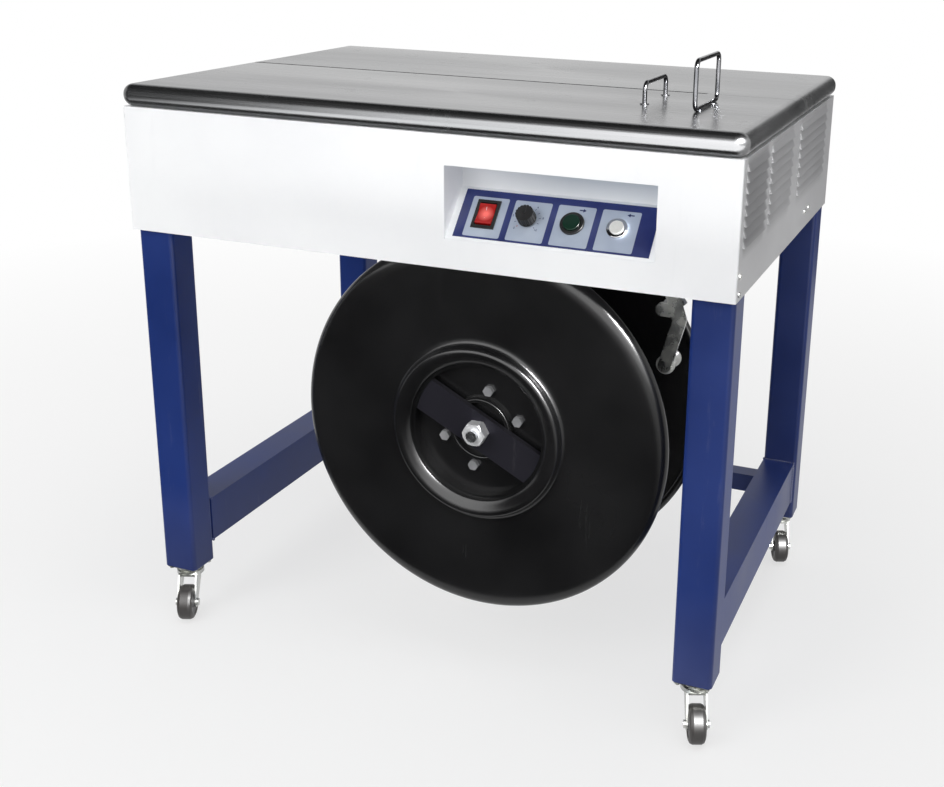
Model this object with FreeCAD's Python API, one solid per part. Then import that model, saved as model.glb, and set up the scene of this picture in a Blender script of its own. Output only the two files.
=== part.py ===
# Semi-automatic strapping machine on an open leg frame, in millimetres.
# X runs along the table, Y from the operator to the back and Z up from the floor.
# A sheet-steel cabinet carries the table and the sealing head, the strap reel hangs under it,
# and four tube legs stand on swivel casters.
import FreeCAD
import Part
import math
import os

# Overall sizes
table_length = 860.0
table_depth = 610.0
table_height = 805.0
table_edge = 30.0
cabinet_height = 170.0
cabinet_inset = 3.0
leg_width = 54.0
leg_depth = 50.0
leg_setback = 8.0
caster_height = 80.0
reel_radius = 266.0
reel_width = 200.0
reel_rise = 23.0
reel_setback = 65.0
head_inset = 170.0
reel_to_head = 190.0

# Stock, fits and clearances shared by the whole machine
table_sheet = 2.0
panel_sheet = 2.0
running_fit = 0.05
seat_gap = 0.3
moving_gap = 0.5
overrun = 1.0

# Places that follow from the overall sizes
half_length = table_length / 2
half_depth = table_depth / 2
cabinet_top = table_height - table_edge
cabinet_bottom = cabinet_top - cabinet_height
cabinet_x = half_length - cabinet_inset
cabinet_y = half_depth - cabinet_inset
inner_x = cabinet_x - panel_sheet
inner_y = cabinet_y - panel_sheet
leg_inner_x = inner_x - leg_width
leg_outer_y = inner_y - leg_setback
leg_inner_y = leg_outer_y - leg_depth
tray_bottom = cabinet_bottom + panel_sheet
tray_top = tray_bottom + panel_sheet
head_x = half_length - head_inset
reel_x = head_x - reel_to_head
reel_z = cabinet_bottom + reel_rise - reel_radius
reel_front = reel_setback - half_depth
reel_rear = reel_front + reel_width


# Small helpers
def V(x, y, z):
    return FreeCAD.Vector(x, y, z)


def block(x0, x1, y0, y1, z0, z1):
    return Part.makeBox(x1 - x0, y1 - y0, z1 - z0, V(x0, y0, z0))


def rod(radius, start, end):
    run = end - start
    return Part.makeCylinder(radius, run.Length, start, run)


def ring(outer, inner, start, end):
    run = (end - start).normalize() * overrun
    return rod(outer, start, end).cut(rod(inner, start - run, end + run))


def prism(points, run):
    return Part.Face(Part.makePolygon(points + points[:1])).extrude(run)


def fused(shapes):
    joined = shapes[0].fuse(shapes[1:]) if len(shapes) > 1 else shapes[0]
    return joined.removeSplitter()


def upright_edges(shape, near):
    def is_upright(edge):
        ends = [vertex.Point for vertex in edge.Vertexes]
        flat = abs(ends[0].x - ends[-1].x) + abs(ends[0].y - ends[-1].y)
        return len(ends) == 2 and flat < running_fit and near(ends[0])

    return [edge for edge in shape.Edges if is_upright(edge)]


def rounded_block(x0, x1, y0, y1, z0, z1, radius):
    plain = block(x0, x1, y0, y1, z0, z1)
    return plain.makeFillet(radius, upright_edges(plain, lambda point: True))


def turned_about_y(points, x, z):
    """Revolves an outline of (radius, y) points about the line along Y through x, z."""
    outline = [V(x + radius, y, z) for radius, y in points]
    face = Part.Face(Part.makePolygon(outline + outline[:1]))
    return face.revolve(V(x, 0, z), V(0, 1, 0), 360)


def bent_rod(points, bend, radius):
    """A round bar along straight runs joined by tangent arcs of radius bend."""
    edges = []
    start = points[0]
    for before, corner, after in zip(points, points[1:], points[2:]):
        back = (before - corner).normalize()
        ahead = (after - corner).normalize()
        half = back.getAngle(ahead) / 2
        reach = bend / math.tan(half)
        middle = corner + (back + ahead).normalize() * (bend / math.sin(half) - bend)
        edges.append(Part.LineSegment(start, corner + back * reach).toShape())
        edges.append(Part.Arc(corner + back * reach, middle, corner + ahead * reach).toShape())
        start = corner + ahead * reach
    edges.append(Part.LineSegment(start, points[-1]).toShape())
    section = Part.Wire(Part.Circle(points[0], points[1] - points[0], radius).toShape())
    return Part.Wire(edges).makePipeShell([section], True, False)


def link_plate(start, end, radius, thickness):
    """A flat bar with round ends between two points of one XZ plane, thickness towards +Y."""
    depth = V(0, thickness, 0)
    side = (end - start).cross(V(0, 1, 0)).normalize() * radius
    web = prism([start + side, end + side, end - side, start - side], depth)
    return fused([web, rod(radius, start, start + depth), rod(radius, end, end + depth)])


def hexagon_corners(across_flats):
    corner = across_flats / math.sqrt(3)
    turns = [math.radians(60 * side) for side in range(6)]
    return [(corner * math.cos(turn), corner * math.sin(turn)) for turn in turns]


def hexagon_bar(across_flats, start, end):
    """A hexagonal bar along Y."""
    return prism([start + V(x, 0, z) for x, z in hexagon_corners(across_flats)], end - start)


def mirrored_x(shape):
    return shape.mirror(V(0, 0, 0), V(1, 0, 0))


def mirrored_y(shape):
    return shape.mirror(V(0, 0, 0), V(0, 1, 0))


# Work table
# Two shallow pans of stainless sheet meet along the strap slot. Their outer edges are rolled, and a
# return flange under the edge rests on the cabinet.
table_corner = 16.0
bullnose = 14.0
table_flange = 30.0
slot_width = 6.0
slot_inset = 127.0
slot_end = half_length - slot_inset
seam_gap = 1.0


def front_slab(inset, back):
    front = inset - half_depth
    side = half_length - inset
    low = cabinet_top + inset
    high = table_height - inset
    slab = block(-side, side, front, back, low, high)
    corners = upright_edges(slab, lambda point: point.y < front + running_fit)
    slab = slab.makeFillet(table_corner - inset, corners)

    def on_rim(edge):
        box = edge.BoundBox
        level = box.ZLength < running_fit
        return level and box.YMin < back - running_fit

    rim = [edge for edge in slab.Edges if on_rim(edge)]
    return slab.makeFillet(bullnose - inset, rim)


def table_half():
    fold = -slot_width / 2 - table_sheet
    plate = front_slab(0, -seam_gap / 2)
    plate = plate.cut(front_slab(table_sheet, fold))
    opening = block(
        table_flange - half_length,
        half_length - table_flange,
        table_flange - half_depth,
        fold,
        cabinet_top - overrun,
        cabinet_top + table_sheet + overrun,
    )
    slot = block(
        -half_length - overrun,
        slot_end,
        -slot_width / 2,
        0,
        cabinet_top - overrun,
        table_height + overrun,
    )
    return plate.cut(opening).cut(slot)


# Wire strap guides on the front table plate
wire = 6.0
low_loop_inset = 174.0
low_loop_gap = 40.0
low_loop_length = 100.0
low_loop_height = 30.0
tall_loop_inset = 97.0
tall_loop_gap = 65.0
tall_loop_length = 116.0
tall_loop_height = 66.0
loop_bend = 10.0
loop_foot = 12.0
stud_inset = 24.0
low_loop_x = half_length - low_loop_inset
low_loop_back = -low_loop_gap
low_loop_front = low_loop_back - low_loop_length
tall_loop_x = half_length - tall_loop_inset
tall_loop_back = -tall_loop_gap
tall_loop_front = tall_loop_back - tall_loop_length


def loop_feet():
    low = [(low_loop_x, low_loop_front + wire / 2), (low_loop_x, low_loop_back - wire / 2)]
    tall = [(tall_loop_x, tall_loop_front + stud_inset), (tall_loop_x, tall_loop_back - stud_inset)]
    return low + tall


def loop_foot_rod(x, y, radius):
    return rod(radius, V(x, y, table_height - loop_foot), V(x, y, table_height + wire / 2))


def wire_loop_low():
    top = table_height + low_loop_height - wire / 2
    foot = table_height - loop_foot
    front = low_loop_front + wire / 2
    back = low_loop_back - wire / 2
    points = [
        V(low_loop_x, front, foot),
        V(low_loop_x, front, top),
        V(low_loop_x, back, top),
        V(low_loop_x, back, foot),
    ]
    return bent_rod(points, loop_bend, wire / 2)


def wire_loop_tall():
    top = table_height + tall_loop_height - wire / 2
    low = table_height + seat_gap + wire / 2
    front = tall_loop_front + wire / 2
    back = tall_loop_back - wire / 2
    middle = (front + back) / 2
    points = [
        V(tall_loop_x, middle, low),
        V(tall_loop_x, back, low),
        V(tall_loop_x, back, top),
        V(tall_loop_x, front, top),
        V(tall_loop_x, front, low),
        V(tall_loop_x, middle, low),
    ]
    studs = [loop_foot_rod(x, y, wire / 2 - running_fit) for x, y in loop_feet()[2:]]
    return fused([bent_rod(points, loop_bend, wire / 2)] + studs)


def table_front_plate():
    plate = table_half()
    for x, y in loop_feet():
        plate = plate.cut(loop_foot_rod(x, y, wire / 2 + running_fit))
    return plate


def table_rear_lid():
    return mirrored_y(table_half())


# Lid hinges at the back edge
# The knuckle lies outside the back panel, level with the top of the cabinet.
hinge_inset = 150.0
knuckle_count = 3
hinge_x = half_length - hinge_inset
hinge_leaf_length = 60.0
hinge_leaf_width = 24.0
hinge_leaf = 1.5
hinge_knuckle = 4.0
hinge_pin = 2.0
hinge_y = cabinet_y + hinge_knuckle
hinge_z = cabinet_top - hinge_knuckle


def knuckle(x0, x1):
    return rod(hinge_knuckle, V(x0, hinge_y, hinge_z), V(x1, hinge_y, hinge_z))


def knuckle_bore(x0, x1):
    radius = hinge_pin + running_fit
    return rod(radius, V(x0 - overrun, hinge_y, hinge_z), V(x1 + overrun, hinge_y, hinge_z))


def hinge_thirds(x):
    third = hinge_leaf_length / knuckle_count
    start = x - hinge_leaf_length / 2
    return [(start + third * step, start + third * (step + 1)) for step in range(knuckle_count)]


def hinge_fixed_leaf(x):
    first, middle, last = hinge_thirds(x)
    low = hinge_z - hinge_leaf_width
    leaf = block(first[0], last[1], cabinet_y, cabinet_y + hinge_leaf, low, hinge_z)
    rolls = [knuckle(first[0], first[1]), knuckle(last[0], last[1])]
    gap = block(
        middle[0] - seat_gap,
        middle[1] + seat_gap,
        cabinet_y - overrun,
        hinge_y + hinge_knuckle + overrun,
        hinge_z - hinge_knuckle - seat_gap,
        hinge_z + hinge_knuckle,
    )
    return fused([leaf] + rolls).cut(gap).cut(knuckle_bore(first[0], last[1]))


def hinge_moving_leaf(x):
    first, middle, last = hinge_thirds(x)
    low = cabinet_top - hinge_leaf
    leaf = block(first[0], last[1], hinge_y - hinge_leaf_width, hinge_y, low, cabinet_top)
    reach = hinge_knuckle + seat_gap
    leaf = leaf.cut(block(first[0] - overrun, middle[0], hinge_y - reach, hinge_y, low, cabinet_top))
    leaf = leaf.cut(block(middle[1], last[1] + overrun, hinge_y - reach, hinge_y, low, cabinet_top))
    leaf = fused([leaf, knuckle(middle[0], middle[1])])
    return leaf.cut(knuckle_bore(middle[0], middle[1]))


def hinge_pin_rod(x):
    half = hinge_leaf_length / 2
    return rod(hinge_pin, V(x - half, hinge_y, hinge_z), V(x + half, hinge_y, hinge_z))


def both_hinges(make):
    return Part.makeCompound([make(-hinge_x), make(hinge_x)])


def hinge_notches():
    """Room in the top of the back panel for the lid's leaves."""
    half = hinge_leaf_length / 2 + moving_gap
    reach = hinge_leaf_width + moving_gap
    notches = [
        block(x - half, x + half, hinge_y - reach, hinge_y, cabinet_top - panel_sheet, cabinet_top)
        for x in (-hinge_x, hinge_x)
    ]
    return notches[0].fuse(notches[1])


# Cabinet panels
# Each panel is a flat sheet with a flange folded in along its top and another along its bottom.
top_flange = 20.0
bottom_flange = 15.0

# Control recess in the front panel
recess_width = 275.0
recess_inset = 103.0
recess_rise = 36.0
recess_height = 95.5
recess_depth = 52.0
recess_slope_rise = 60.0
recess_sheet = 1.5
recess_sill = 3.0
recess_right = half_length - recess_inset
recess_left = recess_right - recess_width
recess_low = cabinet_bottom + recess_rise
recess_high = recess_low + recess_height
recess_back_low = recess_low + recess_slope_rise


def long_panel():
    """Front panel without its recess. The back panel is its mirror image."""
    sheet = block(-cabinet_x, cabinet_x, -cabinet_y, -inner_y, cabinet_bottom, cabinet_top)
    outer = upright_edges(sheet, lambda point: point.y < -cabinet_y + running_fit)
    sheet = sheet.makeFillet(panel_sheet - running_fit, outer)
    top = block(
        -inner_x, inner_x, -inner_y, top_flange - inner_y, cabinet_top - panel_sheet, cabinet_top
    )
    half = leg_inner_x - seat_gap
    bottom = block(
        -half, half, -inner_y, bottom_flange - inner_y, cabinet_bottom, cabinet_bottom + panel_sheet
    )
    return fused([sheet, top, bottom])


def front_panel():
    opening = block(
        recess_left, recess_right, -cabinet_y - overrun, overrun - inner_y, recess_low, recess_high
    )
    return long_panel().cut(opening)


def back_panel():
    return mirrored_y(long_panel()).cut(hinge_notches())


# Louvre banks pressed out of the side panels
louvre_bank_shares = [(-0.95, -0.57), (-0.50, -0.05), (0.13, 0.80)]
louvre_rise = 63.0
louvre_low = cabinet_bottom + louvre_rise
louvre_pitch = 13.0
louvre_count = 8
louvre_height = 9.0
louvre_hood = 3.0
louvre_sheet = 1.2


def louvre(y0, y1, z):
    """One hood, closed at its ends and open downwards, on the outer face of the right panel."""
    top = z + louvre_height
    run = V(0, y1 - y0, 0)
    outer = prism(
        [V(inner_x, y0, z), V(inner_x, y0, top), V(cabinet_x, y0, top), V(cabinet_x + louvre_hood, y0, z)],
        run,
    )
    inside = V(0, y1 - y0 - 2 * louvre_sheet, 0)
    start = y0 + louvre_sheet
    inner = prism(
        [
            V(inner_x - overrun, start, z - overrun),
            V(inner_x - overrun, start, top - louvre_sheet),
            V(cabinet_x - louvre_sheet, start, top - louvre_sheet),
            V(cabinet_x + louvre_hood - louvre_sheet, start, z - overrun),
        ],
        inside,
    )
    return outer, inner


def right_side_panel():
    sheet = block(inner_x, cabinet_x, -inner_y, inner_y, cabinet_bottom, cabinet_top)
    half = inner_y - top_flange
    top = block(inner_x - top_flange, inner_x, -half, half, cabinet_top - panel_sheet, cabinet_top)
    run = leg_inner_y - seat_gap
    bottom = block(
        inner_x - bottom_flange, inner_x, -run, run, cabinet_bottom, cabinet_bottom + panel_sheet
    )
    hoods = []
    hollows = []
    for start, end in louvre_bank_shares:
        for step in range(louvre_count):
            outer, inner = louvre(start * inner_y, end * inner_y, louvre_low + step * louvre_pitch)
            hoods.append(outer)
            hollows.append(inner)
    return sheet.fuse([top, bottom] + hoods).cut(Part.makeCompound(hollows)).removeSplitter()


# Bottom tray with the cut-out that the top of the reel reaches into
rim_bead = 6.0
reel_room = 12.0
chord_room = 20.0
cutout_half = math.sqrt(reel_radius**2 - (cabinet_bottom - reel_z) ** 2) + chord_room
cutout_front = reel_front - rim_bead - reel_room
cutout_back = reel_rear + rim_bead + reel_room
rail_size = 40.0
cross_gap = 3.0
cross_pitch = 80.0
cross_front = cutout_back + cross_gap
cross_back = cross_front + cross_pitch + rail_size
gland_inset = 310.0
gland_thread = 8.0
gland_x = gland_inset - half_length
gland_y = (cross_back + inner_y) / 2


def base_tray():
    side = inner_x - seat_gap
    end = inner_y - seat_gap
    tray = block(-side, side, -end, end, tray_bottom, tray_top)
    for x in (leg_inner_x - seat_gap, -side - overrun):
        for y in (leg_inner_y - seat_gap, -end - overrun):
            width = side + overrun + seat_gap - leg_inner_x
            depth = end + overrun + seat_gap - leg_inner_y
            notch = block(x, x + width, y, y + depth, tray_bottom - overrun, tray_top + overrun)
            tray = tray.cut(notch)
    cutout = block(
        reel_x - cutout_half,
        reel_x + cutout_half,
        cutout_front,
        cutout_back,
        tray_bottom - overrun,
        tray_top + overrun,
    )
    hole = rod(
        gland_thread + running_fit,
        V(gland_x, gland_y, tray_bottom - overrun),
        V(gland_x, gland_y, tray_top + overrun),
    )
    return tray.cut(cutout).cut(hole)


# Cable gland under the tray
gland_bore = 4.5
gland_flats = 22.0
gland_body = 16.0
gland_nut = 6.0
gland_low = tray_bottom - gland_body
gland_high = tray_top + gland_nut


def mains_gland():
    centre = V(gland_x, gland_y, 0)
    up = V(0, 0, 1)
    outline = [V(x, y, 0) + centre for x, y in hexagon_corners(gland_flats)]
    lower = prism([point + up * gland_low for point in outline], up * gland_body)
    nut = prism([point + up * tray_top for point in outline], up * gland_nut)
    neck = rod(gland_thread, centre + up * tray_bottom, centre + up * tray_top)
    body = fused([lower, neck, nut])
    bore = rod(gland_bore, centre + up * (gland_low - overrun), centre + up * (gland_high + overrun))
    return body.cut(bore)


# Control recess box
def recess_profile(thickness):
    """The recess in the YZ plane, grown by thickness behind its walls."""
    back = recess_depth - inner_y + thickness
    slope = math.atan2(recess_back_low - recess_low - recess_sill, recess_depth)
    drop = thickness / math.cos(slope)
    return [
        (-inner_y, recess_high + thickness),
        (back, recess_high + thickness),
        (back, recess_back_low - thickness * math.tan(slope / 2)),
        (-inner_y, recess_low + recess_sill - drop),
    ]


slope_low = V(0, -inner_y, recess_low + recess_sill)
slope_high = V(0, recess_depth - inner_y, recess_back_low)
slope_length = (slope_high - slope_low).Length
slope_deg = math.degrees(math.atan2(slope_high.z - slope_low.z, slope_high.y - slope_low.y))
slope_middle = (slope_low + slope_high) * 0.5


def on_slope(shape, x):
    """Moves a shape made on the XY plane to the sloped panel, its own Z pointing out of it."""
    turn = FreeCAD.Rotation(V(1, 0, 0), slope_deg)
    placed = shape.copy()
    placed.Placement = FreeCAD.Placement(slope_middle + V(x, 0, 0), turn)
    return placed


# Controls on the sloped panel: rocker switch, timer knob, green button and white button
overlay_sheet = 0.8
overlay_side = 9.0
overlay_edge = 4.0
rocker_inset = 45.0
timer_inset = 101.0
green_inset = 160.0
white_inset = 218.0
rocker_x = recess_left + rocker_inset
timer_x = recess_left + timer_inset
green_x = recess_left + green_inset
white_x = recess_left + white_inset
rocker_width = 22.0
rocker_length = 28.0
rocker_face = 4.0
rocker_waist = 2.0
rocker_pivot = 3.0
rocker_depth = 7.0
rocker_tilt_deg = 8.0
switch_frame = 4.0
switch_lip = 2.0
switch_body = 22.0
timer_radius = 12.0
timer_height = 14.0
timer_taper = 0.5
timer_shaft = 3.0
timer_body_radius = 12.0
timer_body_depth = 16.0
timer_bush = 5.0
flute_count = 16
flute_radius = 1.2
green_radius = 12.5
white_radius = 10.5
button_wall = 3.0
round_share = 1 / 3
bezel_height = 3.0
button_height = 5.5
button_stem = 4.0
button_body_depth = 20.0
button_body_wall = 4.0
button_travel = 3.0
hole_room = 0.2
rocker_reach = math.hypot(rocker_length / 2, rocker_face + rocker_pivot) + moving_gap
switch_half_x = rocker_width / 2 + moving_gap + switch_frame
switch_half_y = rocker_reach + switch_frame
switch_neck_x = rocker_width / 2 + moving_gap + switch_frame / 2
switch_neck_y = rocker_reach + switch_frame / 2


def control_holes(top):
    """Cuts for the controls, from behind the panel up to top."""
    low = -recess_sheet - overrun
    neck = block(
        -switch_neck_x - hole_room,
        switch_neck_x + hole_room,
        -switch_neck_y - hole_room,
        switch_neck_y + hole_room,
        low,
        top,
    )
    cuts = [on_slope(neck, rocker_x)]
    cuts.append(on_slope(rod(timer_bush + hole_room, V(0, 0, low), V(0, 0, top)), timer_x))
    for x, radius in ((green_x, green_radius), (white_x, white_radius)):
        hole = rod(radius + hole_room, V(0, 0, low), V(0, 0, top))
        cuts.append(on_slope(hole, x))
    return Part.makeCompound(cuts)


def control_recess():
    """Five plates welded into a box: roof, back and slope with mitred edges, and two ends."""
    inside = recess_profile(0)
    outside = recess_profile(recess_sheet)
    walls = []
    for near, far in ((0, 1), (1, 2), (2, 3)):
        corners = [inside[near], inside[far], outside[far], outside[near]]
        walls.append(prism([V(recess_left, y, z) for y, z in corners], V(recess_width, 0, 0)))
    slope = walls.pop().cut(control_holes(overrun))
    ends = [
        prism([V(x, y, z) for y, z in outside], V(recess_sheet, 0, 0))
        for x in (recess_left - recess_sheet, recess_right)
    ]
    return Part.makeCompound(walls + [slope] + ends)


def control_overlay():
    middle = (recess_left + recess_right) / 2
    half = (recess_right - recess_left) / 2 - overlay_side
    reach = slope_length / 2 - overlay_edge
    foil = block(-half, half, -reach, reach, 0, overlay_sheet)
    return on_slope(foil, middle).cut(control_holes(overlay_sheet + overrun))


def switch_housing():
    low = -switch_body
    top = overlay_sheet + switch_lip
    x = rocker_width / 2 + moving_gap
    y = rocker_reach
    frame = block(-switch_half_x, switch_half_x, -switch_half_y, switch_half_y, overlay_sheet, top)
    neck = block(-switch_neck_x, switch_neck_x, -switch_neck_y, switch_neck_y, low, overlay_sheet)
    floor = -rocker_pivot - rocker_depth - moving_gap
    well = block(-x, x, -y, y, floor, top + overrun)
    return on_slope(fused([frame, neck]).cut(well), rocker_x)


def power_rocker():
    """A rocker with a shallow V across its face, made level and tilted to its off side."""
    half = rocker_length / 2
    outline = [
        V(-rocker_width / 2, -half, rocker_face),
        V(-rocker_width / 2, 0, rocker_waist),
        V(-rocker_width / 2, half, rocker_face),
        V(-rocker_width / 2, half, -rocker_pivot),
        V(-rocker_width / 2, half / 2, -rocker_pivot - rocker_depth / 2),
        V(-rocker_width / 2, -half / 2, -rocker_pivot - rocker_depth / 2),
        V(-rocker_width / 2, -half, -rocker_pivot),
    ]
    body = prism(outline, V(rocker_width, 0, 0))
    body.rotate(V(0, 0, -rocker_pivot), V(1, 0, 0), rocker_tilt_deg)
    body.translate(V(0, 0, overlay_sheet))
    return on_slope(body, rocker_x)


def timer_body():
    low = -recess_sheet - seat_gap
    can = rod(timer_body_radius, V(0, 0, low - timer_body_depth), V(0, 0, low))
    bush = rod(timer_bush, V(0, 0, low), V(0, 0, overlay_sheet + bezel_height / 2))
    bore = rod(timer_shaft + running_fit, V(0, 0, low - timer_body_depth / 2), V(0, 0, timer_height))
    return on_slope(fused([can, bush]).cut(bore), timer_x)


def timer_knob():
    """Fluted knob with a pointer ridge on its face, and its shaft."""
    low = overlay_sheet + bezel_height / 2 + seat_gap
    top = low + timer_height
    cap = Part.makeCone(timer_radius, timer_radius - timer_taper, timer_height, V(0, 0, low))
    flutes = []
    for step in range(flute_count):
        turn = 2 * math.pi * step / flute_count
        foot = V(timer_radius * math.cos(turn), timer_radius * math.sin(turn), low + flute_radius)
        flutes.append(rod(flute_radius, foot, V(foot.x, foot.y, top + overrun)))
    cap = cap.cut(Part.makeCompound(flutes))
    ridge = block(-flute_radius, flute_radius, 0, timer_radius - 2 * flute_radius, top, top + flute_radius)
    shaft_low = -recess_sheet - timer_body_depth / 2
    shaft = rod(timer_shaft, V(0, 0, shaft_low), V(0, 0, low))
    return on_slope(fused([cap, ridge, shaft]), timer_x)


def button_bezel(x, radius):
    """Flanged barrel behind the panel, with a stepped bore for the cap and its stem."""
    low = -recess_sheet - button_body_depth
    barrel = rod(radius, V(0, 0, low), V(0, 0, overlay_sheet))
    flange = rod(radius + button_wall, V(0, 0, overlay_sheet), V(0, 0, overlay_sheet + bezel_height))
    flange = flange.makeFillet(bezel_height * round_share, [flange.Edges[0]])
    cap_top = overlay_sheet + button_height
    cap_floor = cap_top - bezel_height - button_travel - 2 * moving_gap
    wide = rod(radius - button_wall / 2 + moving_gap, V(0, 0, cap_floor), V(0, 0, cap_top))
    stem = rod(button_stem + running_fit, V(0, 0, low + button_body_wall), V(0, 0, overlay_sheet))
    return on_slope(fused([barrel, flange]).cut(wide).cut(stem), x)


def button_cap(x, radius):
    cap_radius = radius - button_wall / 2
    low = overlay_sheet + button_height - bezel_height - moving_gap
    cap = rod(cap_radius, V(0, 0, low), V(0, 0, overlay_sheet + button_height))
    cap = cap.makeFillet(bezel_height * round_share, [cap.Edges[0]])
    stem_low = -recess_sheet - button_body_depth + button_body_wall + button_travel + moving_gap
    stem = rod(button_stem, V(0, 0, stem_low), V(0, 0, low))
    return on_slope(fused([cap, stem]), x)


# Legs and stretchers
leg_wall = 3.0
leg_corner = 6.0
leg_drop = 80.0
leg_top = cabinet_top - leg_drop
leg_foot = 4.0
stretcher_rise = 30.0
stretcher_low = caster_height + stretcher_rise
stretcher_height = 69.0
stretcher_width = 50.0
rear_stretcher_size = 30.0
rear_stretcher_inset = 10.0


def tube(x0, x1, y0, y1, z0, z1, wall, along):
    """A rectangular tube with its open ends along the axis named x, y or z."""
    outer = block(x0, x1, y0, y1, z0, z1)
    room = {"x": V(-overrun, wall, wall), "y": V(wall, -overrun, wall), "z": V(wall, wall, -overrun)}
    pad = room[along]
    inner = block(x0 + pad.x, x1 - pad.x, y0 + pad.y, y1 - pad.y, z0 + pad.z, z1 - pad.z)
    return outer.cut(inner)


def leg_front_right():
    x0, x1 = leg_inner_x, inner_x
    y0, y1 = -leg_outer_y, -leg_inner_y
    outer = rounded_block(x0, x1, y0, y1, caster_height, leg_top, leg_corner)
    inner = rounded_block(
        x0 + leg_wall,
        x1 - leg_wall,
        y0 + leg_wall,
        y1 - leg_wall,
        caster_height + leg_foot,
        leg_top + overrun,
        leg_corner - leg_wall,
    )
    return outer.cut(inner)


def side_stretcher_right():
    high = stretcher_low + stretcher_height
    right = leg_inner_x + stretcher_width
    return tube(leg_inner_x, right, -leg_inner_y, leg_inner_y, stretcher_low, high, leg_wall, "y")


def rear_stretcher():
    back = leg_outer_y - rear_stretcher_inset
    front = back - rear_stretcher_size
    high = stretcher_low + rear_stretcher_size
    return tube(-leg_inner_x, leg_inner_x, front, back, stretcher_low, high, leg_wall, "x")


# Upper frame: two side rails between the legs and two cross rails that carry the head and the reel
rail_wall = 2.5


def upper_frame():
    high = tray_top + rail_size
    right = leg_inner_x + rail_size
    side = tube(leg_inner_x, right, -leg_inner_y, leg_inner_y, tray_top, high, rail_wall, "y")
    pieces = [side, mirrored_x(side)]
    for y in (cross_front, cross_front + cross_pitch):
        end = leg_inner_x
        pieces.append(tube(-end, end, y, y + rail_size, tray_top, high, rail_wall, "x"))
    return Part.makeCompound(pieces)


# Reel
# The drum, the two flanges and the shaft turn together. The shaft runs in two bearings in the
# bracket that hangs from the tray.
flange_sheet = 3.0
collar_radius = 116.0
collar_width = 12.0
collar_height = 15.0
shoulder_share = 0.2
flat_share = 0.25
drum_radius = 98.0
drum_wall = 4.0
web_recess = 14.0
web_sheet = 5.0
hub_radius = 26.0
boss_radius = 46.0
boss_inner = 38.0
boss_height = 6.0
bar_width = 50.0
bar_sheet = 8.0
bar_angle_deg = -27.6
bolt_circle = 57.0
bolt_flats = 13.0
bolt_height = 6.0
bolt_angles_deg = [18.9, 78.9, 198.9, 258.9]
nut_flats = 30.0
nut_height = 16.0
stud_radius = 8.0
stud_reach = 6.0
shaft_radius = 12.5
shaft_collar = 22.0
bearing_radius = 26.0
bearing_width = 15.0
housing_radius = 33.0
housing_length = 70.0
reel_axis = V(reel_x, 0, reel_z)
web_front = reel_front + web_recess
boss_front = web_front - boss_height
bar_front = boss_front - bar_sheet
nut_front = bar_front - nut_height
bracket_front = cross_front
bracket_sheet = 6.0
shaft_back = bracket_front + housing_length


def along_reel(y):
    return reel_axis + V(0, y, 0)


def flange_rim(y):
    return Part.makeTorus(reel_radius - rim_bead, rim_bead, along_reel(y), V(0, 1, 0))


def reel_front_flange():
    """Flat flange with a rolled rim and a raised collar round the drum's recess."""
    web = ring(
        reel_radius - rim_bead,
        drum_radius + running_fit,
        along_reel(reel_front - flange_sheet / 2),
        along_reel(reel_front + flange_sheet / 2),
    )
    inner = drum_radius + running_fit
    crown = reel_front - collar_height
    shoulder = crown + collar_height * shoulder_share
    back = reel_front - flange_sheet / 2
    outline = [
        (inner, back),
        (inner, crown + collar_height / 2),
        (collar_radius - collar_width / 2, shoulder),
        (collar_radius - collar_width * flat_share, crown),
        (collar_radius, crown),
        (collar_radius + collar_width * flat_share, shoulder),
        (collar_radius + collar_width / 2, back),
    ]
    return fused([web, turned_about_y(outline, reel_x, reel_z), flange_rim(reel_front)])


def reel_rear_flange():
    web = ring(
        reel_radius - rim_bead,
        shaft_radius + running_fit,
        along_reel(reel_rear - flange_sheet / 2),
        along_reel(reel_rear + flange_sheet / 2),
    )
    return fused([web, flange_rim(reel_rear)])


def reel_drum():
    """Tube between the flanges with a recessed web, a boss ring before it and a hub for the shaft."""
    back = along_reel(reel_rear - flange_sheet / 2)
    front = along_reel(reel_front - flange_sheet / 2)
    web = along_reel(web_front)
    inner = drum_radius - drum_wall
    return Part.makeCompound(
        [
            ring(drum_radius, inner, front, back),
            ring(inner - running_fit, hub_radius + running_fit, web, along_reel(web_front + web_sheet)),
            ring(boss_radius, boss_inner, along_reel(boss_front), web),
            ring(hub_radius, shaft_radius + running_fit, web, back),
        ]
    )


def reel_crossbar():
    half = drum_radius - drum_wall - moving_gap
    front = bar_front
    outline = block(-half, half, front, boss_front, -bar_width / 2, bar_width / 2)
    round_end = rod(half, V(0, front, 0), V(0, boss_front, 0))
    bar = outline.common(round_end)
    bar = bar.cut(rod(stud_radius + running_fit, V(0, front - overrun, 0), V(0, boss_front + overrun, 0)))
    bar.rotate(V(0, 0, 0), V(0, 1, 0), -bar_angle_deg)
    bar.translate(reel_axis)
    return bar


def reel_nut():
    """Large hexagon nut with a turned washer face."""
    nut = hexagon_bar(nut_flats, along_reel(nut_front), along_reel(bar_front))
    cone = Part.makeCone(
        nut_flats / 2, nut_flats / 2 + nut_height, nut_height, along_reel(nut_front), V(0, 1, 0)
    )
    nut = nut.common(cone)
    bore = rod(stud_radius + running_fit, along_reel(nut_front - overrun), along_reel(bar_front + overrun))
    return nut.cut(bore)


def hub_bolts():
    bolts = []
    for angle in bolt_angles_deg:
        turn = math.radians(angle)
        centre = along_reel(web_front) + V(math.cos(turn), 0, math.sin(turn)) * bolt_circle
        bolts.append(hexagon_bar(bolt_flats, centre - V(0, bolt_height, 0), centre))
    return Part.makeCompound(bolts)


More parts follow.
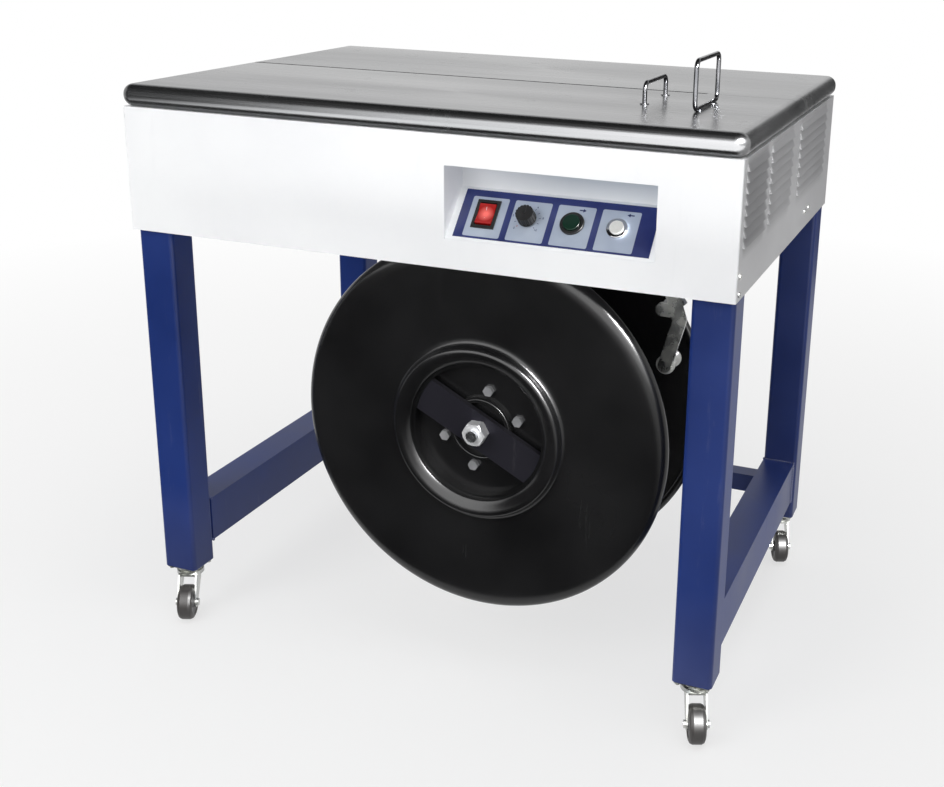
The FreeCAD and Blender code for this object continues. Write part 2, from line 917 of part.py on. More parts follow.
def reel_shaft():
    front = nut_front - stud_reach
    rear_face = reel_rear + flange_sheet / 2
    stud = rod(stud_radius, along_reel(front), along_reel(web_front))
    body = rod(shaft_radius, along_reel(web_front), along_reel(shaft_back))
    collar = rod(shaft_collar, along_reel(rear_face), along_reel(rear_face + flange_sheet * 2))
    return fused([stud, body, collar])


def reel_bearings():
    starts = (bracket_front, shaft_back - bearing_width)
    rings = [
        ring(
            bearing_radius - running_fit,
            shaft_radius + running_fit,
            along_reel(start),
            along_reel(start + bearing_width),
        )
        for start in starts
    ]
    return Part.makeCompound(rings)


bracket_top_half = 80.0
bracket_low_half = 40.0
bracket_rib = 34.0


def reel_bracket():
    """Tapered plate with side ribs, a top flange under the tray and the bearing housing."""
    back = bracket_front + bracket_sheet
    low = reel_z - bracket_low_half
    high = tray_bottom
    corners = [
        V(reel_x - bracket_top_half, bracket_front, high),
        V(reel_x + bracket_top_half, bracket_front, high),
        V(reel_x + bracket_low_half, bracket_front, low),
        V(reel_x - bracket_low_half, bracket_front, low),
    ]
    plate = prism(corners, V(0, bracket_sheet, 0))
    top = block(
        reel_x - bracket_top_half,
        reel_x + bracket_top_half,
        bracket_front,
        bracket_front + rail_size,
        high - bracket_sheet,
        high,
    )
    rib = prism(
        [
            V(reel_x + bracket_top_half, back, high),
            V(reel_x + bracket_low_half, back, low),
            V(reel_x + bracket_low_half - bracket_sheet, back, low),
            V(reel_x + bracket_top_half - bracket_sheet, back, high),
        ],
        V(0, bracket_rib - bracket_sheet, 0),
    )
    other = rib.mirror(reel_axis, V(1, 0, 0))
    housing = rod(housing_radius, along_reel(bracket_front), along_reel(shaft_back))
    body = fused([plate, top, rib, other, housing])
    bore = rod(bearing_radius, along_reel(bracket_front - overrun), along_reel(shaft_back + overrun))
    return body.cut(bore)


# Brake and strap-guide lever
# The lever hangs from a clevis under the tray. Its tip carries a guide roller between the flanges
# and its arm presses a pad on the rim of the rear flange.
lever_y = (reel_front + reel_rear) / 2
lever_sheet = 6.0
lever_half = 9.0
lever_pivot_drop = 22.0
lever_pivot_out = 227.0
lever_elbow_out = 30.0
lever_elbow_deg = 33.1
lever_tip_inset = 17.0
lever_tip_deg = 22.6
lever_pin = 4.0
knee_share = 0.8
clevis_sheet = 4.0
clevis_half = 14.0
pad_angle_deg = 38.0
pad_half_deg = 4.0
pad_thick = 10.0
pad_arm = 7.0
brake_gap = 0.5
roller_radius = 9.0
roller_flange = 13.0
roller_length = 34.0
roller_lip = 3.0
roller_pin = 3.0
pin_head = 3.0


def round_reel(radius, angle_deg):
    turn = math.radians(angle_deg)
    return reel_axis + V(math.cos(turn), 0, math.sin(turn)) * radius


def lever_point(point, y):
    return V(point.x, y, point.z)


lever_pivot = V(reel_x + lever_pivot_out, 0, tray_bottom - lever_pivot_drop)
lever_elbow = round_reel(reel_radius + lever_elbow_out, lever_elbow_deg)
lever_tip = round_reel(reel_radius - lever_tip_inset, lever_tip_deg)


def pad_slab(inner, outer, half):
    """A block across the rear flange's rim, square to the radius through the brake pad."""
    lift = V(0, reel_rear - rim_bead, 0)
    near = round_reel(inner, pad_angle_deg) + lift
    far = round_reel(outer, pad_angle_deg) + lift
    side = (far - near).cross(V(0, 1, 0)).normalize() * half
    return prism([near - side, near + side, far + side, far - side], V(0, 2 * rim_bead, 0))


def brake_shoe():
    """A curved pad just off the rim, and the block that joins it to the arm."""
    inner = reel_radius + brake_gap
    outer = inner + pad_thick
    low = along_reel(reel_rear - rim_bead)
    high = along_reel(reel_rear + rim_bead)
    spread = math.tan(math.radians(pad_half_deg)) * outer
    window = pad_slab(inner - pad_thick, outer + pad_thick, spread)
    pad = ring(outer, inner, low, high).common(window)
    return [pad, pad_slab(outer - overrun, outer + pad_arm, pad_arm)]


def brake_lever():
    front = lever_y - lever_sheet / 2
    pivot, elbow, tip = (lever_point(point, front) for point in (lever_pivot, lever_elbow, lever_tip))
    arm_axis = round_reel(reel_radius + brake_gap + pad_thick + pad_arm, pad_angle_deg)
    arm_start = lever_point(arm_axis, front)
    arm_end = lever_point(arm_axis, reel_rear + rim_bead)
    knee = pivot + (elbow - pivot) * knee_share
    plates = [
        link_plate(pivot, elbow, lever_half, lever_sheet),
        link_plate(elbow, tip, lever_half, lever_sheet),
        link_plate(knee, arm_start, lever_half, lever_sheet),
    ]
    arm = rod(pad_arm, arm_start, arm_end)
    pin_end = tip + V(0, lever_sheet + roller_length + 2 * seat_gap + pin_head, 0)
    spindle = rod(roller_pin, tip, pin_end)
    head = rod(roller_radius - roller_lip, pin_end - V(0, pin_head, 0), pin_end)
    body = fused(plates + [arm, spindle, head] + brake_shoe())
    bore = rod(
        lever_pin + running_fit, pivot - V(0, overrun, 0), pivot + V(0, lever_sheet + overrun, 0)
    )
    return body.cut(bore)


def brake_clevis():
    """Two ears under a foot plate, with the pivot pin through them."""
    front = lever_y - lever_sheet / 2 - seat_gap - clevis_sheet
    back = lever_y + lever_sheet / 2 + seat_gap
    x = lever_pivot.x
    high = tray_bottom
    foot = block(
        x - clevis_half, x + clevis_half, front, back + clevis_sheet, high - clevis_sheet, high
    )
    pieces = [foot]
    for start in (front, back):
        ear = link_plate(
            V(x, start, lever_pivot.z), V(x, start, high - clevis_sheet), lever_half, clevis_sheet
        )
        keep = block(x - clevis_half, x + clevis_half, start, start + clevis_sheet, 0, high)
        pieces.append(ear.common(keep))
    pin = rod(
        lever_pin,
        lever_point(lever_pivot, front - pin_head),
        lever_point(lever_pivot, back + clevis_sheet + pin_head),
    )
    return fused(pieces + [pin])


def guide_roller():
    front = lever_y + lever_sheet / 2 + seat_gap
    x, z = lever_tip.x, lever_tip.z
    back = front + roller_length
    outline = [
        (roller_pin + running_fit, front),
        (roller_flange, front),
        (roller_flange, front + roller_lip),
        (roller_radius, front + 2 * roller_lip),
        (roller_radius, back - 2 * roller_lip),
        (roller_flange, back - roller_lip),
        (roller_flange, back),
        (roller_pin + running_fit, back),
    ]
    return turned_about_y(outline, x, z)


# Swivel casters
caster_trail = 28.0
caster_heading_deg = 22.0
wheel_radius = 26.0
wheel_width = 22.0
tread_round = 5.0
chamfer_share = 1 / 3
wheel_dish = 3.0
hub_cap = 9.0
axle_radius = 4.0
cheek_sheet = 2.5
cheek_boss = 8.0
caster_plate_sheet = 3.0
cup_radius = 18.0
cup_height = 7.0
crown_radius = 20.0
crown_height = 6.0
crown_back_share = 0.8
king_pin = 5.0
leg_centre_x = inner_x - leg_width / 2
leg_centre_y = leg_outer_y - leg_depth / 2
caster_x = {"left": -leg_centre_x, "right": leg_centre_x}
caster_y = {"front": -leg_centre_y, "back": leg_centre_y}
plate_low = caster_height - caster_plate_sheet
cup_low = plate_low - cup_height
crown_top = cup_low - seat_gap
crown_low = crown_top - crown_height
wheel_centre = V(0, -caster_trail, wheel_radius)


def caster_plate():
    half_x = leg_width / 2 - leg_wall
    half_y = leg_depth / 2 - leg_wall
    plate = block(-half_x, half_x, -half_y, half_y, plate_low, caster_height)
    cup = Part.makeCone(cup_radius, cup_radius + cup_height / 2, cup_height, V(0, 0, cup_low))
    pin = rod(king_pin, V(0, 0, crown_low - pin_head), V(0, 0, plate_low))
    head_top_z = crown_low - seat_gap
    head = rod(king_pin + pin_head, V(0, 0, head_top_z - pin_head), V(0, 0, head_top_z))
    return fused([plate, cup, pin, head])


def caster_fork():
    """Crown round the king pin, two cheeks down to the axle, and the axle bolt with its ends."""
    inner = wheel_width / 2 + moving_gap
    outer = inner + cheek_sheet
    back = crown_radius * crown_back_share
    crown_middle = crown_low + crown_height / 2
    crown = rod(crown_radius, V(0, 0, crown_low), V(0, 0, crown_top))
    outline = [
        V(inner, -crown_radius, crown_middle),
        V(inner, back, crown_middle),
        V(inner, cheek_boss - caster_trail, wheel_radius),
        V(inner, -cheek_boss - caster_trail, wheel_radius),
    ]
    cheek = prism(outline, V(cheek_sheet, 0, 0))
    boss = rod(cheek_boss, wheel_centre + V(inner, 0, 0), wheel_centre + V(outer, 0, 0))
    cheek = fused([cheek, boss])
    bridge = block(-outer, outer, -crown_radius, back, crown_low, crown_middle)
    body = fused([crown, bridge, cheek, mirrored_x(cheek)])
    body = body.cut(
        rod(king_pin + running_fit, V(0, 0, crown_low - overrun), V(0, 0, crown_top + overrun))
    )
    tip = outer + pin_head
    bolt = rod(axle_radius, wheel_centre - V(tip, 0, 0), wheel_centre + V(tip, 0, 0))
    head = rod(axle_radius + pin_head / 2, wheel_centre + V(outer, 0, 0), wheel_centre + V(tip, 0, 0))
    return fused([body, bolt, head, mirrored_x(head)])


def caster_wheel():
    half = wheel_width / 2
    bore = axle_radius + running_fit
    rim = wheel_radius - 2 * tread_round
    chamfer = tread_round * chamfer_share
    outline = [
        (bore, -half),
        (hub_cap, -half),
        (hub_cap, wheel_dish - half),
        (rim, wheel_dish - half),
        (rim + tread_round / 2, -half),
        (wheel_radius - tread_round, -half),
        (wheel_radius - chamfer, chamfer - half),
        (wheel_radius, tread_round - half),
        (wheel_radius, half - tread_round),
        (wheel_radius - chamfer, half - chamfer),
        (wheel_radius - tread_round, half),
        (rim + tread_round / 2, half),
        (rim, half - wheel_dish),
        (hub_cap, half - wheel_dish),
        (hub_cap, half),
        (bore, half),
    ]
    wheel = turned_about_y(outline, 0, 0)
    wheel.rotate(V(0, 0, 0), V(0, 0, 1), -90)
    wheel.translate(wheel_centre)
    return wheel


def at_leg(shape, side, end, heading):
    placed = shape.copy()
    placed.rotate(V(0, 0, 0), V(0, 0, 1), heading)
    placed.translate(V(caster_x[side], caster_y[end], 0))
    return placed


# Sealing head on the cross rails, under the right part of the slot
head_half = 55.0
head_foot_half = 65.0
head_sheet = 8.0
head_gap = 40.0
head_drop = 10.0
guide_depth = 24.0
cam_rise = 41.0
cam_shaft_radius = 8.0
cam_radius = 15.0
cam_throw = 2.0
cam_width = 10.0
platen_half = 13.0
gripper_gap = 8.0
gripper_half = 7.0
press_travel = 3.0
press_half_y = 14.0
feed_offset = 40.0
feed_rise = 25.0
feed_radius = 13.0
feed_journal = 5.0
anvil_sheet = 4.0
anvil_rail = 7.0
motor_radius = 35.0
motor_length = 110.0
gear_length = 34.0
head_low = tray_top + rail_size
head_floor = head_low + head_sheet
head_top = cabinet_top - head_drop
head_front = cross_front
head_side_front = head_front + head_sheet
head_side_back = head_side_front + head_gap
head_back = head_side_back + head_sheet
head_middle_y = (head_side_front + head_side_back) / 2
guide_low = head_top - guide_depth
rail_top = head_top + press_travel + 2 * moving_gap
cam_z = head_low + cam_rise
cam_top = cam_z + cam_radius + cam_throw
feed_z = cam_z + feed_rise
feed_x = head_x + feed_offset
gripper_x = head_x - platen_half - gripper_gap - gripper_half
shaft_end = head_back + gear_length - head_sheet


def head_frame():
    """Base plate, two side plates, and a guide block with rails for the sliding anvil."""
    foot_back = cross_front + cross_pitch + rail_size
    foot = block(
        head_x - head_foot_half, head_x + head_foot_half, head_front, foot_back, head_low, head_floor
    )
    left = head_x - head_half
    right = head_x + head_half
    front_side = block(left, right, head_front, head_side_front, head_floor, head_top)
    back_side = block(left, right, head_side_back, head_back, head_floor, head_top)
    guide = block(left, right, head_side_front, head_side_back, guide_low, head_top)
    rails = [
        block(start, start + anvil_rail, head_front, head_back, head_top, rail_top)
        for start in (left, right - anvil_rail)
    ]
    body = fused([foot, front_side, back_side, guide] + rails)
    for x, half in ((head_x, platen_half), (gripper_x, gripper_half)):
        room = half + hole_room
        reach = press_half_y + hole_room
        front, back = head_middle_y - reach, head_middle_y + reach
        body = body.cut(block(x - room, x + room, front, back, guide_low - overrun, head_top + overrun))
    for x, z, radius in ((head_x, cam_z, cam_shaft_radius), (feed_x, feed_z, feed_journal)):
        bore = rod(radius + running_fit, V(x, head_front - overrun, z), V(x, head_back + overrun, z))
        body = body.cut(bore)
    return body


def press_block(x, half, low):
    front, back = head_middle_y - press_half_y, head_middle_y + press_half_y
    return block(x - half, x + half, front, back, low, head_top)


def press_platen():
    return press_block(head_x, platen_half, cam_top + moving_gap)


def strap_gripper():
    return press_block(gripper_x, gripper_half, cam_top + cam_throw + moving_gap)


def slide_anvil():
    reach = head_half - anvil_rail / 2
    low = rail_top + seat_gap
    plate = block(head_x - reach, head_x + reach, head_front, head_back, low, low + anvil_sheet)
    return plate.makeFillet(anvil_sheet, upright_edges(plate, lambda point: True))


def cam_shaft():
    start = V(head_x, head_front - pin_head, cam_z)
    shaft = rod(cam_shaft_radius, start, V(head_x, shaft_end, cam_z))
    cams = []
    for y, side in ((head_middle_y - cam_width, 1), (head_middle_y + cam_width / 2, -1)):
        centre = V(head_x + side * cam_throw, y, cam_z)
        cams.append(rod(cam_radius, centre, centre + V(0, cam_width, 0)))
    return fused([shaft] + cams)


def feed_roller():
    middle = rod(
        feed_radius,
        V(feed_x, head_side_front + moving_gap, feed_z),
        V(feed_x, head_side_back - moving_gap, feed_z),
    )
    journal = rod(feed_journal, V(feed_x, head_front, feed_z), V(feed_x, head_back, feed_z))
    return fused([middle, journal])


def drive_motor():
    """Gear case on the back side plate with the motor behind it."""
    case_back = head_back + gear_length
    left, right = head_x - motor_radius, head_x + motor_radius
    case = block(left, right, head_back, case_back, head_floor, cam_z + motor_radius)
    centre = V(head_x, case_back, cam_z)
    can = rod(motor_radius - pin_head, centre, centre + V(0, motor_length, 0))
    start, end = V(head_x, head_back - overrun, cam_z), V(head_x, shaft_end + overrun, cam_z)
    return fused([case, can]).cut(rod(cam_shaft_radius + running_fit, start, end))


# Control box on the tray, beside the reel
box_width = 150.0
box_depth = 110.0
box_height = 80.0
box_room = 41.0


def control_box():
    left = box_room - leg_inner_x
    front = (reel_front + reel_rear - box_depth) / 2
    back, high = front + box_depth, tray_top + box_height
    return rounded_block(left, left + box_width, front, back, tray_top, high, panel_sheet)


# The finished pieces by name
def all_pieces():
    right_panel = right_side_panel()
    leg = leg_front_right()
    stretcher = side_stretcher_right()
    plate, fork, wheel = caster_plate(), caster_fork(), caster_wheel()
    corners = [(end, side) for end in ("front", "back") for side in ("left", "right")]
    pieces = {
        "table_front_plate": table_front_plate(),
        "table_rear_lid": table_rear_lid(),
        "lid_hinge_fixed_leaves": both_hinges(hinge_fixed_leaf),
        "lid_hinge_moving_leaves": both_hinges(hinge_moving_leaf),
        "lid_hinge_pins": both_hinges(hinge_pin_rod),
        "wire_loop_low": wire_loop_low(),
        "wire_loop_tall": wire_loop_tall(),
        "front_panel": front_panel(),
        "back_panel": back_panel(),
        "right_side_panel": right_panel,
        "left_side_panel": mirrored_x(right_panel),
        "base_tray": base_tray(),
        "mains_gland": mains_gland(),
        "control_recess": control_recess(),
        "control_overlay": control_overlay(),
        "switch_housing": switch_housing(),
        "power_rocker": power_rocker(),
        "timer_body": timer_body(),
        "timer_knob": timer_knob(),
        "green_button_bezel": button_bezel(green_x, green_radius),
        "green_button": button_cap(green_x, green_radius),
        "white_button_bezel": button_bezel(white_x, white_radius),
        "white_button": button_cap(white_x, white_radius),
        "leg_front_right": leg,
        "leg_front_left": mirrored_x(leg),
        "leg_back_right": mirrored_y(leg),
        "leg_back_left": mirrored_x(mirrored_y(leg)),
        "side_stretcher_right": stretcher,
        "side_stretcher_left": mirrored_x(stretcher),
        "rear_stretcher": rear_stretcher(),
        "upper_frame": upper_frame(),
        "reel_bracket": reel_bracket(),
        "reel_bearings": reel_bearings(),
        "reel_shaft": reel_shaft(),
        "reel_drum": reel_drum(),
        "reel_front_flange": reel_front_flange(),
        "reel_rear_flange": reel_rear_flange(),
        "reel_crossbar": reel_crossbar(),
        "reel_nut": reel_nut(),
        "hub_bolts": hub_bolts(),
        "brake_lever": brake_lever(),
        "brake_clevis": brake_clevis(),
        "guide_roller": guide_roller(),
        "caster_plates": Part.makeCompound([at_leg(plate, side, end, 0) for end, side in corners]),
        "head_frame": head_frame(),
        "press_platen": press_platen(),
        "strap_gripper": strap_gripper(),
        "slide_anvil": slide_anvil(),
        "cam_shaft": cam_shaft(),
        "feed_roller": feed_roller(),
        "drive_motor": drive_motor(),
        "control_box": control_box(),
    }
    for end, side in corners:
        pieces[f"caster_fork_{end}_{side}"] = at_leg(fork, side, end, caster_heading_deg)
        pieces[f"caster_wheel_{end}_{side}"] = at_leg(wheel, side, end, caster_heading_deg)
    return pieces


# The origin is on the floor, at the middle of the machine's outline
def outline_centre(pieces):
    bounds = FreeCAD.BoundBox()
    for shape in pieces.values():
        bounds.add(shape.optimalBoundingBox(False))
    return V(bounds.Center.x, bounds.Center.y, bounds.ZMin)


pieces = all_pieces()
origin = outline_centre(pieces)
os.makedirs("parts", exist_ok=True)
for name, shape in pieces.items():
    shape.translate(origin * -1)
    shape.exportStep(f"parts/{name}.step")
print(f"{len(pieces)} pieces, origin at {origin.x:.3f}, {origin.y:.3f}, {origin.z:.3f}")
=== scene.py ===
import math

import bpy
from mathutils import Matrix, Quaternion, Vector


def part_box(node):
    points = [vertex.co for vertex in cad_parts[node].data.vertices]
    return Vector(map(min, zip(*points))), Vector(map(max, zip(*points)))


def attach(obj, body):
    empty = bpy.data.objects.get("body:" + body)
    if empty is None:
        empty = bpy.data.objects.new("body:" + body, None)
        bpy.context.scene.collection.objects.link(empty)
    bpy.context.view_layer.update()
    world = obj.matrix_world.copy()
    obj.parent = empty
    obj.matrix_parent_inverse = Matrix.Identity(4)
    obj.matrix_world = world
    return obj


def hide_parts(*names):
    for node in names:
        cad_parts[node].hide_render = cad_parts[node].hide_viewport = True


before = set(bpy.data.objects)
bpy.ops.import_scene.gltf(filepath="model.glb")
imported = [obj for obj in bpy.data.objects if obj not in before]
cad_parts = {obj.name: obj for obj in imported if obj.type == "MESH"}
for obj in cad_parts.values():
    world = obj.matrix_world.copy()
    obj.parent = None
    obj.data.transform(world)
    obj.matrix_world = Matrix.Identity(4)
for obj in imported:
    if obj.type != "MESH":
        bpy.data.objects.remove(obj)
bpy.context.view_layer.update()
mm = 0.001

# Leg frame: four legs of rectangular steel tube, two deep side stretchers and a light rear one.
# The joints are MIG welded, and the whole frame is sprayed with deep blue enamel over the weld ripples.


def tone(red, green, blue):
    """A colour given as it shows on a screen, from 0 to 255, as linear values."""

    def linear(value):
        value /= 255
        return value / 12.92 if value <= 0.04045 else ((value + 0.055) / 1.055) ** 2.4

    return (linear(red), linear(green), linear(blue), 1.0)


def feed(tree, socket, value):
    """Links a value that is a socket, and sets any other on the socket itself."""
    if isinstance(value, bpy.types.NodeSocket):
        tree.links.new(value, socket)
    else:
        socket.default_value = value


def add(tree, kind, **inputs):
    node = tree.nodes.new(kind)
    for name, value in inputs.items():
        feed(tree, node.inputs[name.replace("_", " ")], value)
    return node


def maths(tree, operation, *values):
    node = tree.nodes.new("ShaderNodeMath")
    node.operation = operation
    for socket, value in zip(node.inputs, values):
        feed(tree, socket, value)
    return node.outputs["Value"]


def vector_maths(tree, operation, *values):
    """Gives all the outputs: lengths and products come out at Value, the rest at Vector."""
    node = tree.nodes.new("ShaderNodeVectorMath")
    node.operation = operation
    for socket, value in zip(node.inputs, values):
        feed(tree, socket, value)
    return node.outputs


def spread(tree, value, low, high, to_low=0.0, to_high=1.0):
    """Carries a value from one range to another, and stops at its ends."""
    node = add(
        tree,
        "ShaderNodeMapRange",
        Value=value,
        From_Min=low,
        From_Max=high,
        To_Min=to_low,
        To_Max=to_high,
    )
    return node.outputs["Result"]


def blend(tree, share, first, second):
    return add(tree, "ShaderNodeMixRGB", Fac=share, Color1=first, Color2=second).outputs["Color"]


def local(tree):
    return add(tree, "ShaderNodeTexCoord").outputs["Object"]


def start_material(name, **constants):
    """A new material, its tree and its shader, with the plain values set on the shader itself."""
    material = bpy.data.materials.new(name)
    material.use_nodes = True
    tree = material.node_tree
    surface = tree.nodes["Principled BSDF"]
    for label, value in constants.items():
        surface.inputs[label.replace("_", " ")].default_value = value
    return material, tree, surface


def start_group(name, inputs, outputs):
    """An empty group with number sockets, and its two end nodes."""
    tree = bpy.data.node_groups.new(name, "ShaderNodeTree")
    for label, value in inputs.items():
        socket = tree.interface.new_socket(label, in_out="INPUT", socket_type="NodeSocketFloat")
        socket.default_value = value
    for label in outputs:
        tree.interface.new_socket(label, in_out="OUTPUT", socket_type="NodeSocketFloat")
    return tree, tree.nodes.new("NodeGroupInput"), tree.nodes.new("NodeGroupOutput")


# One group ages every finish: slow drift of colour, fine grit in the skin, long thin handling marks,
# and dust on what stands near the floor.
dust_height = 0.22
ageing, given, result = start_group(
    "surface_age",
    {"Cloud Scale": 5.0, "Grit Scale": 700.0, "Mark Scale": 45.0},
    ("Cloud", "Grit", "Marks", "Dust"),
)
place = local(ageing)
cloud = add(
    ageing, "ShaderNodeTexNoise", Vector=place, Scale=given.outputs["Cloud Scale"], Detail=5.0
)
feed(ageing, result.inputs["Cloud"], spread(ageing, cloud.outputs["Fac"], 0.35, 0.65))
grit = add(ageing, "ShaderNodeTexNoise", Vector=place, Scale=given.outputs["Grit Scale"], Detail=2.0)
feed(ageing, result.inputs["Grit"], grit.outputs["Fac"])
streak = add(ageing, "ShaderNodeMapping", Vector=place, Scale=(1.0, 1.0, 0.12))
marks = add(
    ageing,
    "ShaderNodeTexNoise",
    Vector=streak.outputs["Vector"],
    Scale=given.outputs["Mark Scale"],
    Detail=8.0,
    Roughness=0.7,
)
feed(ageing, result.inputs["Marks"], spread(ageing, marks.outputs["Fac"], 0.60, 0.70))
height = add(ageing, "ShaderNodeSeparateXYZ", Vector=place).outputs["Z"]
settled = maths(ageing, "MULTIPLY", spread(ageing, height, dust_height, 0.0), cloud.outputs["Fac"])
feed(ageing, result.inputs["Dust"], settled)


def age(tree, cloud_scale, grit_scale, mark_scale):
    node = tree.nodes.new("ShaderNodeGroup")
    node.node_tree = ageing
    node.inputs["Cloud Scale"].default_value = cloud_scale
    node.inputs["Grit Scale"].default_value = grit_scale
    node.inputs["Mark Scale"].default_value = mark_scale
    return node.outputs


def set_sheen(tree, surface, worn, fresh, dulled):
    """Roughness, from fresh skin to skin that is both clouded and marked."""
    dull = maths(tree, "ADD", worn["Cloud"], worn["Marks"])
    feed(tree, surface.inputs["Roughness"], spread(tree, dull, 0.0, 2.0, fresh, dulled))


def emboss(tree, surface, height, strength, depth):
    bump = add(tree, "ShaderNodeBump", Height=height, Strength=strength, Distance=depth)
    feed(tree, surface.inputs["Normal"], bump.outputs["Normal"])


paint_dulling = 0.22


def painted(name, colour, shade, gloss, peel=0.25, shine=0.5):
    """Sprayed paint: its tone drifts, marks and dust dull it, and its skin has a fine orange peel."""
    material, tree, surface = start_material(name, IOR=1.5, Specular_IOR_Level=shine)
    worn = age(tree, 4.0, 650.0, 38.0)
    base = blend(tree, worn["Cloud"], shade, colour)
    scuffed = blend(tree, maths(tree, "MULTIPLY", worn["Marks"], 0.05), base, tone(190, 192, 196))
    dusty = blend(tree, maths(tree, "MULTIPLY", worn["Dust"], 0.30), scuffed, tone(150, 146, 140))
    feed(tree, surface.inputs["Base Color"], dusty)
    set_sheen(tree, surface, worn, gloss, gloss + paint_dulling)
    emboss(tree, surface, worn["Grit"], peel, 0.15 * mm)
    return material


def dress(material, *nodes):
    """Gives CAD nodes their finish."""
    for node in nodes:
        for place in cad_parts[node].material_slots:
            place.material = material


blue_enamel = painted("blue_enamel", tone(14, 48, 122), tone(9, 39, 104), 0.34, 0.35, 0.22)
dress(
    blue_enamel,
    "leg_front_left",
    "leg_front_right",
    "leg_back_left",
    "leg_back_right",
    "side_stretcher_left",
    "side_stretcher_right",
    "rear_stretcher",
)


def alone(piece):
    """Leaves only this piece selected, and makes it the active one."""
    bpy.ops.object.select_all(action="DESELECT")
    piece.select_set(True)
    bpy.context.view_layer.objects.active = piece


def apply_all(piece):
    """Applies the piece's modifiers in their order."""
    alone(piece)
    for modifier in list(piece.modifiers):
        bpy.ops.object.modifier_apply(modifier=modifier.name)


def joined(pieces):
    """Joins the pieces into the first one."""
    alone(pieces[0])
    for piece in pieces:
        piece.select_set(True)
    bpy.ops.object.join()
    return pieces[0]


def finish(piece, name, material, body, smooth_deg=35):
    """Applies the piece's place, smooths its round faces, and gives it its finish and its body."""
    alone(piece)
    bpy.ops.object.transform_apply(location=True, rotation=True, scale=True)
    bpy.ops.object.shade_smooth_by_angle(angle=math.radians(smooth_deg))
    piece.name = name
    piece.data.name = name
    piece.data.materials.clear()
    piece.data.materials.append(material)
    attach(piece, body)
    return piece


def repeat(piece, step, count):
    """Lays count copies of the piece in a row, a step apart, and makes them one mesh."""
    row = piece.modifiers.new("row", "ARRAY")
    row.use_relative_offset = False
    row.use_constant_offset = True
    row.constant_offset_displace = step
    row.count = count
    apply_all(piece)
    return piece


ripple_pitch = 3.0 * mm
bead_radius = 2.4 * mm
ripple_squeeze = 0.62


def weld_bead(start, end):
    """A row of lapped ripples along the corner from start to end."""
    start = Vector(start) * mm
    run = Vector(end) * mm - start
    count = round(run.length / ripple_pitch)
    bpy.ops.mesh.primitive_uv_sphere_add(segments=10, ring_count=6, radius=bead_radius, location=start)
    bead = bpy.context.object
    bpy.ops.object.mode_set(mode="EDIT")
    squeeze = [ripple_squeeze if step else 1.0 for step in run]
    bpy.ops.transform.resize(value=squeeze)
    bpy.ops.object.mode_set(mode="OBJECT")
    return repeat(bead, run / count, count + 1)


stretcher_low, side_high, rear_high = 110, 179, 140
stretcher_inner, stretcher_outer = 371, 421
leg_inside_ys = (-237.3, 246.7)
rear_front, rear_back = 256.7, 286.7
beads = []
for side in (-1, 1):
    inner, outer = side * stretcher_inner, side * stretcher_outer
    for y in leg_inside_ys:
        beads.append(weld_bead((outer, y, stretcher_low), (outer, y, side_high)))
        beads.append(weld_bead((inner, y, side_high), (outer, y, side_high)))
        beads.append(weld_bead((inner, y, stretcher_low), (outer, y, stretcher_low)))
    for start, end in (
        ((rear_front, stretcher_low), (rear_front, rear_high)),
        ((rear_back, stretcher_low), (rear_back, rear_high)),
        ((rear_front, stretcher_low), (rear_back, stretcher_low)),
        ((rear_front, rear_high), (rear_back, rear_high)),
    ):
        beads.append(weld_bead((inner, *start), (inner, *end)))
finish(joined(beads), "stretcher_welds", blue_enamel, "root")

# Swivel casters: zinc plated plate and fork pressed from sheet, with a dark tread on a grey hub.
# Each plate is held under its leg's foot by four small hexagon screws.


def plated(name, light, dark, gloss, rough, blotch_scale=55.0, grain=0.12, metal=1.0):
    """Bare or plated metal with soft blotches, fine grit and a few handling marks."""
    material, tree, surface = start_material(name, Metallic=metal)
    worn = age(tree, blotch_scale, 900.0, 60.0)
    feed(tree, surface.inputs["Base Color"], blend(tree, worn["Cloud"], dark, light))
    set_sheen(tree, surface, worn, gloss, rough)
    emboss(tree, surface, worn["Grit"], grain, 0.08 * mm)
    return material


def moulded(name, colour, shade, gloss, rough, grain=0.3, grain_scale=1400.0):
    """Moulded plastic or rubber with a fine grained skin and slight sheen changes."""
    material, tree, surface = start_material(name, IOR=1.48, Specular_IOR_Level=0.3)
    worn = age(tree, 9.0, grain_scale, 50.0)
    feed(tree, surface.inputs["Base Color"], blend(tree, worn["Cloud"], shade, colour))
    set_sheen(tree, surface, worn, gloss, rough)
    emboss(tree, surface, worn["Grit"], grain, 0.06 * mm)
    return material


zinc_plate = plated("zinc_plate", tone(196, 197, 192), tone(158, 160, 160), 0.22, 0.42)
corners = [(end, side) for end in ("front", "back") for side in ("left", "right")]
dress(zinc_plate, "caster_plates", *[f"caster_fork_{end}_{side}" for end, side in corners])

leg_xs = {"left": -398, "right": 398}
leg_ys = {"front": -262.3, "back": 271.7}
hub_radius = 17.5 * mm
hub_edge = 0.5 * mm


